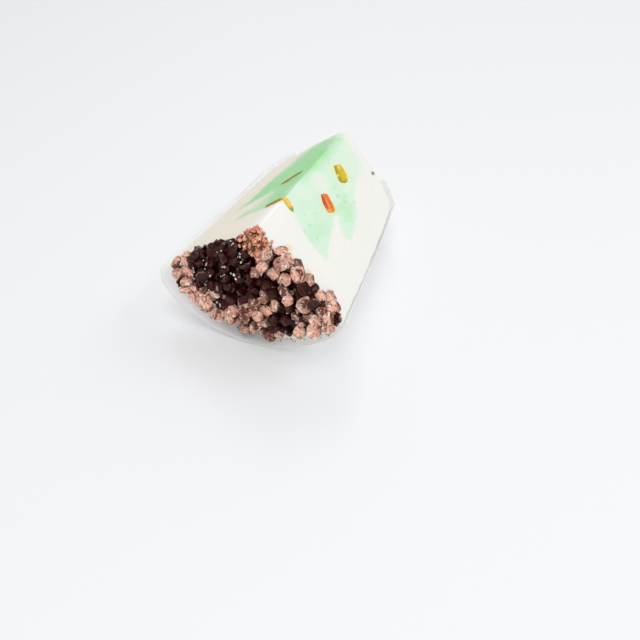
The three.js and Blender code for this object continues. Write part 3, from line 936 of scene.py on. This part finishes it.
def peel_shader():
    """Bright yellow on the right of the ridge, olive brown on the left."""
    c = colours()
    shader = Shader("Peel", Roughness=0.3, Coat_Weight=0.15, Coat_Roughness=0.2)
    own = shader.attribute("own_place", "Vector")
    run, across, _ = own.split()
    fibres = own.stretched((1.0, 2.5, 2.5)).noise(0.5, 4, 0.6)
    bright = shader.mix(fibres.step(0.45, 0.75), c.peel, (0.90, 0.66, 0.16))
    brown = shader.mix(fibres.step(0.4, 0.7), (0.32, 0.17, 0.035), (0.17, 0.075, 0.02))
    shader.feed("Base Color", shader.layered(
        brown,
        (run.step(-0.9, 0.0), bright),
        (across.step(0.2, 0.9) * 0.6, (0.60, 0.30, 0.02)),
        (run.step(1.9, 2.7) * 0.9, (0.22, 0.30, 0.02))))
    shader.relief(fibres, 0.2 * MM, 0.7)
    return shader


def make_fruit():
    c = colours()
    orange = lump(
        "Orange", (9.0 * MM, 4.9 * MM, 4 * MM), 38.2 * MM, 14.2 * MM, math.radians(58), 0.17, 3)
    dark_edge = (0.30, 0.03, 0.005)
    vein = (0.58, 0.07, 0.004)
    # The pale salmon stripe is a painted highlight; the piece is darker at both edges.
    fruit_shader(
        "Orange", (dark_edge, (0.60, 0.12, 0.02), (0.92, 0.34, 0.11), c.orange, vein, c.orange, vein, dark_edge),
        (0.88, 0.42, 0.05), (0.91, 0.32, 0.09), 0.8).paint(orange)
    citron = lump(
        "Citron", (9.0 * MM, 6.0 * MM, 4 * MM), 58.1 * MM, 11.0 * MM, math.radians(55), 0.0, 4)
    gold = (0.80, 0.54, 0.04)
    # The dark olive stripes at the left edge are painted shade.
    fruit_shader(
        "Citron", ((0.34, 0.27, 0.01), (0.50, 0.38, 0.01), c.citron, c.citron, gold, (0.56, 0.34, 0.02)),
        (0.22, 0.30, 0.03), (0.95, 0.82, 0.30), 0.42).paint(citron)
    peel = ridge_peel()
    peel_shader().paint(peel)
    sliver = left_sliver()
    fruit_shader(
        "Sliver", ((0.30, 0.17, 0.05), (0.16, 0.075, 0.025), (0.42, 0.22, 0.07)),
        (0.30, 0.22, 0.06), (0.42, 0.32, 0.12), 0.9).paint(sliver)
    for piece, node, slot in (
            (orange, "Candied_Orange", "candied_orange"), (citron, "Candied_Citron", "candied_citron"),
            (peel, "Ridge_Peel", "candied_peel"), (sliver, "Left_Sliver", "dark_peel")):
        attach(piece, "root")
        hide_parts(node)


# Chocolate

# Drops that stand out in the heap, each by its place on the wide end in mm:
# across, and down from the ridge.
DARK_DROPS = [
    (-7.4, 6.6), (-10.7, 8.4), (-16.5, 13.8), (-20.5, 14.6), (-24.1, 17.6), (-21.3, 19.2), (-13.5, 12.0),
    (-6.9, 9.3), (-10.8, 13.1), (-15.9, 17.9), (-10.6, 17.2), (-5.7, 13.4), (-1.5, 14.0), (-20.4, 25.0),
    (-15.8, 21.8), (-9.5, 21.3), (-4.3, 20.5), (0.6, 18.8), (-8.5, 25.4), (-12.6, 27.6), (-3.6, 25.6),
    (1.8, 23.4), (-7.2, 31.1), (-1.5, 28.7), (-25.6, 19.6), (-25.0, 21.4), (-21.8, 28.8), (-30.4, 31.2),
    (-10.0, 34.8), (7.1, 19.3), (10.2, 22.0), (21.0, 16.1), (26.2, 20.2), (19.9, 18.9),
    (11.2, 33.7), (15.6, 31.4), (17.2, 37.4), (11.9, 37.6), (-3.0, 8.6), (17.2, 25.8),
]
FROSTED_DROPS = [
    (5.4, 11.8), (12.1, 9.1), (9.8, 13.7), (15.0, 13.9), (3.0, 15.7), (14.3, 18.6),
    (11.7, 26.6), (3.0, 29.4), (-1.9, 33.4), (-7.4, 40.5), (-1.9, 39.1), (5.0, 34.3),
    (20.1, 28.9), (25.1, 26.9), (29.9, 23.4), (32.0, 25.0), (27.8, 32.0), (22.3, 35.5), (4.7, 40.6),
    (-1.0, 44.0), (-6.0, 36.2), (-22.2, 38.4), (-18.6, 39.8), (-15.0, 41.2), (-12.1, 42.4), (-19.2, 32.3),
    (-14.0, 31.7), (8.1, 37.0), (-31.8, 23.8), (-31.4, 28.0), (-27.3, 31.1), (-27.4, 34.2),
    (-24.0, 36.1), (-17.9, 36.4), (23.2, 21.8), (32.8, 28.9), (-26.3, 25.6), (8.6, 30.3),
    (6.6, 24.9), (-9.9, 38.2), (16.4, 22.2), (27.9, 27.9), (-22.9, 32.6), (-20.0, 35.6),
]


# Drops that lie over the right edge of the wide end, on the cut face: along and
# from the ridge in mm, and whether they are dark.
EDGE_DROPS = [
    (-0.4, 12.0, False), (-1.2, 15.4, False), (-0.8, 18.8, False), (-2.3, 22.2, False),
    (-1.6, 25.8, False), (-2.0, 29.4, True), (-2.6, 33.0, False), (-0.2, 36.1, False),
    (-2.8, 39.6, False), (-4.6, 43.0, True),
]


# The kinds of drop: outline beside the axis, from base to tip, depth of the
# flutes, and how square they are seen from above, where 2 is round.
DROP_KINDS = {
    "button": (
        [(0, -0.23), (0.28, -0.25), (0.43, -0.27), (0.5, -0.19), (0.42, 0), (0.24, 0.2), (0, 0.26)],
        0.04, 2.4),
    "chunk": (
        [(0, -0.29), (0.28, -0.3), (0.42, -0.25), (0.47, -0.08), (0.43, 0.16), (0.27, 0.27), (0, 0.29)],
        0.05, 3.2),
    "shell": (
        [(0, -0.2), (0.26, -0.25), (0.44, -0.26), (0.5, -0.18), (0.4, 0), (0.22, 0.22), (0, 0.3)],
        0.17, 2.0),
    "bean": (
        [(0, -0.27), (0.28, -0.27), (0.43, -0.25), (0.5, -0.16), (0.43, 0), (0.25, 0.2), (0, 0.26)],
        0.06, 2.0),
    "cup": (
        [(0, -0.06), (0.26, -0.12), (0.43, -0.3), (0.5, -0.22), (0.43, 0), (0.25, 0.24), (0, 0.34)],
        0.06, 2.2),
}


def off_round(angle, power):
    """Reach of a rounded square of a power, 2 for a circle, at an angle."""
    return (abs(math.cos(angle)) ** power + abs(math.sin(angle)) ** power) ** (-1 / power)


def drop_shape(kind, rng):
    """One drop of chocolate, base down: a flat button, a squarish chunk, a
    fluted shell with its flutes off to one side, a bean with a ridge along
    its base, or a hollow cup."""
    outline, flute, squareness = DROP_KINDS[kind]
    bm = bmesh.new()
    sides = 12
    verts = [bm.verts.new((x, 0, z)) for x, z in outline]
    edges = [bm.edges.new(pair) for pair in zip(verts, verts[1:])]
    bmesh.ops.spin(
        bm, geom=verts + edges, cent=(0, 0, 0), axis=(0, 0, 1),
        angle=2 * math.pi, steps=sides, use_merge=True)
    bmesh.ops.remove_doubles(bm, verts=bm.verts, dist=0.001)
    shift = Vector((rng.random(), rng.random(), rng.random())) * 20
    squash = 0.56 if kind == "bean" else 0.76 + 0.26 * rng.random()
    aside = 0.30 if kind == "shell" else 0.06 * rng.random()
    curl = 1.2 * (rng.random() - 0.5)
    fold = 0.16 * (rng.random() - 0.3)
    tilt_top = 0.3 * (rng.random() - 0.5)
    for vert in bm.verts:
        p = vert.co.copy()
        angle = math.atan2(p.y, p.x)
        reach = math.hypot(p.x, p.y) * off_round(angle, squareness)
        share = min(1.0, reach * 2)
        groove = math.cos(sides / 2 * angle) * share
        uneven = 1 + 0.26 * noise.noise(p * 2.2 + shift)
        angle += curl * (1 - share)
        ridge = math.exp(-(p.y / 0.11) ** 2) if kind == "bean" and p.z < -0.1 else 0.0
        vert.co = Vector((
            reach * math.cos(angle) * (1 + flute * 0.7 * groove) * uneven - aside * (1 - share),
            reach * math.sin(angle) * (1 + flute * 0.7 * groove) * uneven * squash,
            p.z * (1 + 0.2 * noise.noise(p * 2.3 + shift)) + flute * 0.45 * groove
            + fold * math.cos(2 * angle) * reach + tilt_top * p.x * p.z - 0.08 * ridge))
    bmesh.ops.recalc_face_normals(bm, faces=bm.faces)
    return to_mesh("Drop_shape", bm)


def crumb_shape(rng):
    """A jagged crumb of twenty faces."""
    bm = bmesh.new()
    bmesh.ops.create_icosphere(bm, subdivisions=1, radius=0.5)
    for vert in bm.verts:
        vert.co *= 0.65 + 0.7 * rng.random()
    return to_mesh("Crumb_shape", bm)


def scatter(name, placed, crisp_angle):
    """One piece of many copies. placed holds (shape, matrix, bloom, tone).

    Each point keeps its own place in its copy, and how high it stands there."""
    bm = bmesh.new()
    own = bm.verts.layers.float_vector.new("own_place")
    bloom_layer = bm.verts.layers.float.new("bloom")
    tone_layer = bm.verts.layers.float.new("tone")
    lift_layer = bm.verts.layers.float.new("lift")
    # Lift is measured outwards and a little upwards, for the painted shade on the lower side of each drop.
    upward = ((end_spot(0, 0, 1) - end_spot(0, 0, 0)).normalized() + Vector((0, 0, 0.6))).normalized()
    for shape, matrix, bloom, tone in placed:
        before = len(bm.verts)
        bm.from_mesh(shape)
        bm.verts.ensure_lookup_table()
        added = bm.verts[before:]
        for vert in added:
            vert[own] = vert.co
            vert[bloom_layer] = bloom
            vert[tone_layer] = tone
        bmesh.ops.transform(bm, matrix=matrix, verts=added)
        size = matrix.to_scale().x
        for vert in added:
            vert[lift_layer] = (vert.co - matrix.translation).dot(upward) / size
    piece = add_object(name, bm)
    piece.data.set_sharp_from_angle(angle=crisp_angle)
    return piece


def end_frame():
    """Axes of the wide end: across, along it, and outwards."""
    across = Vector((1, 0, 0))
    outward = (end_spot(0, 0, 1) - end_spot(0, 0, 0)).normalized()
    return Matrix((across, outward.cross(across), outward)).transposed().to_4x4()


def turned(rng, nod):
    """A random turn about the third axis, after nodding away from it."""
    nodding = Euler((nod * (rng.random() - 0.5), nod * (rng.random() - 0.5), 2 * math.pi * rng.random()))
    return nodding.to_matrix().to_4x4() @ Matrix.Rotation(2 * math.pi * rng.random(), 4, "Z")


def drop_matrix(place, rng, size, facing, nod):
    """Lays a drop at a place, leaning back a little as on a slope. facing is
    1 to show its tip, -1 its base."""
    lean = Matrix.Rotation(-0.65, 4, "X")
    flip = Matrix.Rotation(0 if facing > 0 else math.pi, 4, "X")
    scale = Matrix.Diagonal((size, size, size, 1))
    return Matrix.Translation(place) @ end_frame() @ lean @ turned(rng, nod) @ flip @ scale


def on_wide_end(across, down):
    """Whether a drop's middle at this place would lie on the wide end."""
    past_side, furthest = 0.6 * MM, 44.2 * MM
    inside = abs(across) < down * math.tan(sizes().half_angle) + past_side
    return inside and math.hypot(across, down) < furthest


def heap_height(across, down):
    """How far the middles of the upper drops stand off the wide end: furthest
    in the middle, and a little further where they lie on the liner on the left."""
    middle = 1 - math.hypot((across / MM + 4) / 36, (down / MM - 24) / 24)
    on_liner = clamp((math.hypot(across, down) / MM - 35) / 6)
    leftness = clamp((6 - across / MM) / 16)
    return (2.7 + 1.9 * max(0.0, middle) + 0.5 * on_liner * leftness) * MM


def heap_spots(rng):
    """Places of all drops, with their kind: the ones that stand out, others
    between them, and a lower layer that shows in the gaps."""
    spots = []
    for places, dark in ((DARK_DROPS, True), (FROSTED_DROPS, False)):
        for across, down in places:
            height = heap_height(across * MM, down * MM) + (rng.random() - 0.4) * 0.9 * MM
            spots.append((Vector((across * MM, down * MM, height)), dark))
    named = list(spots)

    def dark_near(place):
        return min(named, key=lambda drop: (drop[0].xy - place.xy).length)[1]

    crumb_patch, crumb_reach = Vector((1.2 * MM, 2.4 * MM)), 6.2 * MM
    bare_across, bare_down = -19 * MM, 24 * MM
    mostly_frosted_below = 27 * MM
    for spacing, sunk, tries in ((4.4 * MM, 0, 4000), (4.0 * MM, 2.2 * MM, 1800)):
        layer = [place for place, _ in spots] if sunk == 0 else []
        for _ in range(tries):
            across = (2 * rng.random() - 1) * 39 * MM
            down = (3 + 43 * rng.random()) * MM
            if not on_wide_end(across, down):
                continue
            if (Vector((across, down)) - crumb_patch).length < crumb_reach:
                continue
            if sunk > 0 and across < bare_across and down > bare_down:
                continue
            height = heap_height(across, down) - sunk + (rng.random() - 0.5) * 1.2 * MM
            place = Vector((across, down, height))
            dark = dark_near(place) and (down < mostly_frosted_below or rng.random() < 0.3)
            room = spacing if dark else spacing + 0.3 * MM
            if all((place.xy - other.xy).length > room for other in layer):
                layer.append(place)
                spots.append((place, dark or sunk > 0 and rng.random() < 0.25))
    return spots


def edge_spots(rng):
    """Places of the drops that lie over the two cut edges of the wide end."""
    spots = []
    for along, radius, dark in EDGE_DROPS:
        lift = (0.9 + 0.6 * rng.random()) * MM
        spots.append((face_spot(along * MM, radius * MM, 1, lift), dark))
    lean = sizes().end_lean * math.cos(sizes().half_angle)
    radius, dark_until, end = 14 * MM, 33 * MM, 42 * MM
    while radius < end:
        along = -lean * radius + (1.2 * rng.random() - 2.0) * MM
        dark = radius < dark_until
        spots.append((face_spot(along, radius, -1, (0.7 * rng.random() - 0.4) * MM), dark))
        radius += (3.5 + 0.9 * rng.random()) * MM
    return spots


def make_drops(rng, shapes):
    """Sorts all drops into the dark ones and the frosted ones."""
    diameter = sizes().drop_diameter
    size_dark, size_frosted = 0.98, 1.07
    tips_dark, tips_frosted = 0.6, 0.2
    nod_more, nod_less = 1.9, 0.9
    dark, frosted = [], []
    placed = [(end_spot(*place), black) for place, black in heap_spots(rng)]
    placed += edge_spots(rng)
    for place, black in placed:
        size = diameter * (0.88 + 0.22 * rng.random()) * (size_dark if black else size_frosted)
        facing = 1 if rng.random() < (tips_dark if black else tips_frosted) else -1
        nod = nod_more if black or rng.random() < 0.25 else nod_less
        bloom = 0.3 * rng.random() if black else 0.55 + 0.45 * rng.random()
        tone = rng.random() * (0.5 if place.x < -8 * MM else 1.0)
        entry = (rng.choice(shapes), drop_matrix(place, rng, size, facing, nod), bloom, tone)
        (dark if black else frosted).append(entry)
    return dark, frosted


def bit(place, rng, shapes, low, high):
    """A crumb of a random shape, turn and size at a place."""
    size = (low + (high - low) * rng.random()) * MM
    turn = Euler([2 * math.pi * rng.random() for _ in range(3)]).to_matrix().to_4x4()
    scale = Matrix.Diagonal((size, size * (0.6 + 0.4 * rng.random()), size * (0.3 + 0.4 * rng.random()), 1))
    return rng.choice(shapes), Matrix.Translation(place) @ turn @ scale, 0.5, rng.random()


def make_crumbs(rng, shapes):
    """Brown crumbs gathered round the near end of the ridge, and a few strays."""
    slope = 1 / math.tan(sizes().half_angle)
    tries, strays, strays_angle = 1000, 110, 0.86
    bits = []
    for _ in range(tries):
        across = rng.gauss(1.2, 3.1) * MM
        down = abs(across) * slope + (9.5 * rng.random() - 1.2) * MM
        height = (0.4 + 3.4 * rng.random()) * MM
        if down < 1.5 * MM:
            height -= 2.2 * MM
        if math.hypot(across - 1 * MM, down - 3 * MM) < 8 * MM:
            bits.append(bit(end_spot(across, down, height), rng, shapes, 0.6, 1.8))
    for across, down, out in ((11.0, 5.8, -2.8), (9.8, 5.3, -0.4), (14.3, 8.5, -1.3), (6.4, 2.9, 0.2)):
        bits.append(bit(end_spot(across * MM, down * MM, out * MM), rng, shapes, 1.0, 1.7))
    for _ in range(strays):
        angle = (2 * rng.random() - 1) * strays_angle
        radius = cone_radius(0) - (0.1 + 1.6 * rng.random()) * MM
        place = end_spot(radius * math.sin(angle), radius * math.cos(angle), (0.5 + 2.5 * rng.random()) * MM)
        bits.append(bit(place, rng, shapes, 0.5, 1.2))
    return bits


# White flecks of frost in the dark part of the heap, which also stand in for painted highlights on the dark
# drops, placed like the drops
FROST_AND_GLINTS = [
    (-17.0, 27.9, 4.8), (-7.1, 5.6, 4.2), (-13.1, 11.6, 4.2), (-3.6, 9.1, 4.4), (-3.2, 11.4, 4.6),
    (-9.8, 16.4, 5.4), (-17.4, 17.4, 5.0), (-16.4, 21.2, 5.4), (-9.7, 19.6, 5.8), (-22.6, 22.4, 4.6),
    (-4.0, 18.1, 5.8), (-30.3, 25.2, 3.6), (-10.6, 33.4, 5.8), (13.4, 12.4, 4.8), (5.3, 14.2, 5.0),
]


def make_frost_and_glints(rng, shapes):
    flecks_each = 3
    flecks = []
    for across, down, out in FROST_AND_GLINTS:
        for _ in range(flecks_each):
            place = Vector((across + rng.gauss(0, 0.8), down + rng.gauss(0, 0.8), out + 0.9 * rng.random()))
            flecks.append(bit(end_spot(*(place * MM)), rng, shapes, 0.5, 1.3))
    return flecks


def make_chocolate():
    rng = random.Random(sizes().seed)
    kinds = ("button", "button", "chunk", "chunk", "shell", "shell", "bean", "cup")
    drops = [drop_shape(kind, rng) for kind in kinds for _ in range(2)]
    crumbs = [crumb_shape(rng) for _ in range(6)]
    dark, frosted = make_drops(rng, drops)
    crisp = math.radians(26)
    shader = chocolate_shader("Chocolate")
    pieces = [
        (heap_core(), shader),
        (scatter("Drops_dark", dark, crisp), shader),
        (scatter("Drops_frosted", frosted, crisp), shader),
        (scatter("Crumbs", make_crumbs(rng, crumbs), crisp), crumb_shader("Crumbs")),
        (scatter("Frost_and_glints", make_frost_and_glints(rng, crumbs), crisp), frost_and_glint_shader("Frost_and_glints")),
    ]
    for mesh in drops + crumbs:
        bpy.data.meshes.remove(mesh)
    for piece, finish in pieces:
        finish.paint(piece)
        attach(piece, "root")
        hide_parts("Chocolate_Heap")


def heap_core():
    """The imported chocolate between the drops."""
    s = sizes()
    side_inset = 0.3 * MM
    arc_inset = 3.4 * MM
    left_inset = 7 * MM
    sunk, thickness = 0.2 * MM, 1.8 * MM
    half = s.half_angle - side_inset / s.wide_radius
    steps = 24
    bm = bmesh.new()
    verts = [bm.verts.new(end_spot(0, side_inset / math.sin(half), sunk))]
    for i in range(steps + 1):
        angle = half * (2 * i / steps - 1)
        leftness = max(0.0, -angle / half)
        reach = s.wide_radius - arc_inset - left_inset * leftness ** 2
        verts.append(bm.verts.new(end_spot(reach * math.sin(angle), reach * math.cos(angle), sunk)))
    face = bm.faces.new(verts)
    raised = bmesh.ops.extrude_face_region(bm, geom=[face])["geom"]
    outward = end_spot(0, 0, 1) - end_spot(0, 0, 0)
    bmesh.ops.translate(
        bm, verts=[g for g in raised if isinstance(g, bmesh.types.BMVert)], vec=outward * thickness)
    bmesh.ops.recalc_face_normals(bm, faces=bm.faces)
    piece = add_object("Heap_core", bm)
    remesh(piece, 0.6 * MM)
    smooth_points(piece, 2)
    co = points_of(piece.data)
    push_out(piece.data, noise_at(co, 2.2 * MM) * 0.6 * MM)
    store(piece.data, "own_place", co / (4 * MM))
    # A lift of -0.5 gives the whole core the deepest painted shade, as the shade between the drops.
    for name, value in (("bloom", 0.0), ("tone", 0.1), ("lift", -0.5)):
        store(piece.data, name, np.full(len(co), value))
    return piece


# Paper

def paper_outline(front, thickness):
    """Outline of the liner beside the ridge: inside, then back outside."""
    s = sizes()
    gap = 0.15 * MM
    rim_round = 4 * MM
    inner = []
    cone_steps = 22
    for step in range(cone_steps + 1):
        along = front + (s.cone_length - rim_round - front) * step / cone_steps
        beyond = -min(0.0, along) * math.tan(tilt())
        inner.append((along, cone_radius(max(0.0, along)) + gap + beyond))
    wrap = 0.7
    wrap_steps = 10
    for step in range(wrap_steps + 1):
        share = step / wrap_steps
        t = 1 - (1 - wrap) * share
        air = gap + 2 * MM * min(1.0, 0.35 + share)
        slope = Vector((1, 2 * s.dome_length * t / s.narrow_radius)).normalized()
        inner.append((
            s.cone_length + s.dome_length * (1 - t * t) + slope.x * air,
            s.narrow_radius * t + slope.y * air))
    outer = []
    for i, point in enumerate(inner):
        before = Vector(inner[max(0, i - 1)])
        after = Vector(inner[min(len(inner) - 1, i + 1)])
        run = (after - before).normalized()
        outer.append((point[0] - run.y * thickness, point[1] + run.x * thickness))
    return inner + outer[::-1]


def paper_angle(side, along):
    """How far round the ridge the liner reaches, from -1 at its left edge,
    which stands over the cut face, to 1 at its right edge. It opens at the
    far end."""
    reach, spread = (55.0, 1.0) if side < 0 else (51.5, 3.6)
    spread_start = 56 * MM
    opening = clamp((along - spread_start) / (sizes().cone_length - spread_start))
    return side * math.radians(reach + spread * eased(opening))


def paper_edge(side):
    """The liner's front edge, cut a little askew and rounded at its corners."""
    s = sizes()
    corner_cut = 4 * MM
    corner_start = 0.85
    lean = s.end_lean * s.wide_radius * math.cos(paper_angle(side, 0))
    past = max(0.0, (abs(side) - corner_start) / (1 - corner_start))
    return s.paper_skew * side - s.paper_front - lean + corner_cut * past ** 2


def make_paper():
    s = sizes()
    steps = 120
    base = paper_outline(-s.end_lean * s.wide_radius - s.paper_front, s.paper_thickness)
    count = len(base)
    front = base[0][0]
    bm = swing(base, s.half_angle, steps)
    sample = bm.verts.layers.int["sample"]
    edge = bm.verts.layers.float.new("cut_edge")
    for vert in bm.verts:
        side = max(-1.0, min(1.0, math.atan2(vert.co.x, -vert.co.z) / s.half_angle))
        along, radius = base[vert[sample]]
        share = clamp((along - front) / (s.cone_length - front))
        if along < s.cone_length:
            torn = 0.3 * MM * noise.noise(Vector((side * 6, 0, 3)))
            along += (paper_edge(side) + torn - front) * (1 - share)
        free = clamp(-along / (8 * MM)) + clamp((along / MM - 66) / 8)
        ripple = noise.noise(Vector((side * 5.6, along / (16 * MM), 7))) * 0.35 * MM
        ripple += noise.noise(Vector((side * 17.7, along / (40 * MM), 2))) * 0.14 * MM
        vert.co = spot(along, radius + ripple * free, paper_angle(side, along))
        vert[edge] = 1.0 if vert[sample] in (0, count - 1, count // 2, count // 2 - 1) else 0.0
    piece = add_object("Paper", bm)
    piece.data.set_sharp_from_angle(angle=math.radians(50))
    paper_shader("Paper").paint(piece)
    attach(piece, "root")
    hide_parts("Paper_Liner")


# Stage

# The camera, placed from the near end of the ridge
CAMERA_REACH = Vector((79.4, -123.98, 137.88)) * MM
CAMERA_HEADING = math.radians(25.9)
CAMERA_TILT = math.radians(37.45)
CAMERA_ROLL = math.radians(-1.09)
CAMERA_LENS = 31.48
CAMERA_SHIFT = (0.0203, -0.0013)


# The lamps, each by its place, its size and its power
LAMPS = {
    "Ceiling": ((0, 0, 1.40), 0.8, 4.7),
    "Window": ((0.52, -0.85, 0.98), 0.3, 6.1),
    "Side": ((0.80, 0.75, 0.95), 0.5, 2.9),
    "Rear": ((-0.50, 0.85, 0.90), 0.3, 1.7),
}
WORLD_STRENGTH = 0.49


def add_floor():
    bm = bmesh.new()
    bmesh.ops.create_grid(bm, x_segments=1, y_segments=1, size=4)
    floor = into_scene("Floor", to_mesh("Floor", bm))
    shader = Shader("Floor", Roughness=0.6, Specular_IOR_Level=0.2)
    shader.surface.inputs["Base Color"].default_value = (*colours().surface, 1)
    shader.paint(floor)


def add_lamp(name, place, size, power):
    """A square lamp that shines on the origin."""
    lamp = bpy.data.lights.new(name, "AREA")
    lamp.size = size
    lamp.energy = power
    light = into_scene(name, lamp)
    light.location = place
    light.rotation_euler = (Vector() - Vector(place)).to_track_quat("-Z", "Y").to_euler()


def add_camera():
    lens = bpy.data.cameras.new("Camera")
    lens.lens = CAMERA_LENS
    lens.shift_x, lens.shift_y = CAMERA_SHIFT
    lens.clip_start = 0.01
    camera = into_scene("Camera", lens)
    turned = Matrix.Rotation(CAMERA_HEADING, 4, "Z") @ Matrix.Rotation(CAMERA_TILT, 4, "X")
    place = Matrix.Translation(mould_frame().translation + CAMERA_REACH)
    camera.matrix_world = place @ turned @ Matrix.Rotation(CAMERA_ROLL, 4, "Z")
    bpy.context.scene.camera = camera


def make_stage():
    scene = bpy.context.scene
    add_floor()
    for name, settings in LAMPS.items():
        add_lamp(name, *settings)
    world = bpy.data.worlds.new("Room")
    world.use_nodes = True
    background = world.node_tree.nodes["Background"]
    background.inputs["Color"].default_value = (1, 1, 1, 1)
    background.inputs["Strength"].default_value = WORLD_STRENGTH
    scene.world = world
    scene.view_settings.view_transform = "Standard"
    add_camera()


# Operators

class SPUMONI_OT_ice(bpy.types.Operator):
    """Make the cream ice and its pistachio filling"""

    bl_idname = "spumoni.ice"
    bl_label = "Ice cream"

    def execute(self, context):
        make_ice()
        return {"FINISHED"}


class SPUMONI_OT_fruit(bpy.types.Operator):
    """Make the candied fruit and the strips of peel"""

    bl_idname = "spumoni.fruit"
    bl_label = "Candied fruit"

    def execute(self, context):
        make_fruit()
        return {"FINISHED"}


class SPUMONI_OT_chocolate(bpy.types.Operator):
    """Make the heap of chocolate drops, crumbs and flecks of frost, which also stand for highlights"""

    bl_idname = "spumoni.chocolate"
    bl_label = "Chocolate"

    def execute(self, context):
        make_chocolate()
        return {"FINISHED"}


class SPUMONI_OT_paper(bpy.types.Operator):
    """Make the paper liner"""

    bl_idname = "spumoni.paper"
    bl_label = "Paper liner"

    def execute(self, context):
        make_paper()
        return {"FINISHED"}


class SPUMONI_OT_stage(bpy.types.Operator):
    """Make the floor, the lights and the camera"""

    bl_idname = "spumoni.stage"
    bl_label = "Stage"

    def execute(self, context):
        make_stage()
        return {"FINISHED"}


OPERATORS = (
    SPUMONI_OT_ice, SPUMONI_OT_fruit, SPUMONI_OT_chocolate, SPUMONI_OT_paper, SPUMONI_OT_stage)


class SPUMONI_PT_panel(bpy.types.Panel):
    """Sizes, colours and steps of the spumoni"""

    bl_label = "Spumoni"
    bl_idname = "SPUMONI_PT_panel"
    bl_space_type = "VIEW_3D"
    bl_region_type = "UI"
    bl_category = "Spumoni"

    def draw(self, context):
        layout = self.layout
        for group in (context.scene.spumoni_sizes, context.scene.spumoni_colours):
            for name in group.__annotations__:
                layout.prop(group, name)
        for operator in OPERATORS:
            layout.operator(operator.bl_idname)


CLASSES = (SpumoniSizes, SpumoniColours, *OPERATORS, SPUMONI_PT_panel)


def register():
    for item in CLASSES:
        bpy.utils.register_class(item)
    bpy.types.Scene.spumoni_sizes = PointerProperty(type=SpumoniSizes)
    bpy.types.Scene.spumoni_colours = PointerProperty(type=SpumoniColours)


def unregister():
    del bpy.types.Scene.spumoni_colours
    del bpy.types.Scene.spumoni_sizes
    for item in reversed(CLASSES):
        bpy.utils.unregister_class(item)


def main():
    register()
    bpy.ops.spumoni.ice()
    bpy.ops.spumoni.fruit()
    bpy.ops.spumoni.chocolate()
    bpy.ops.spumoni.paper()
    bpy.ops.spumoni.stage()


if __name__ == "__main__":
    main()
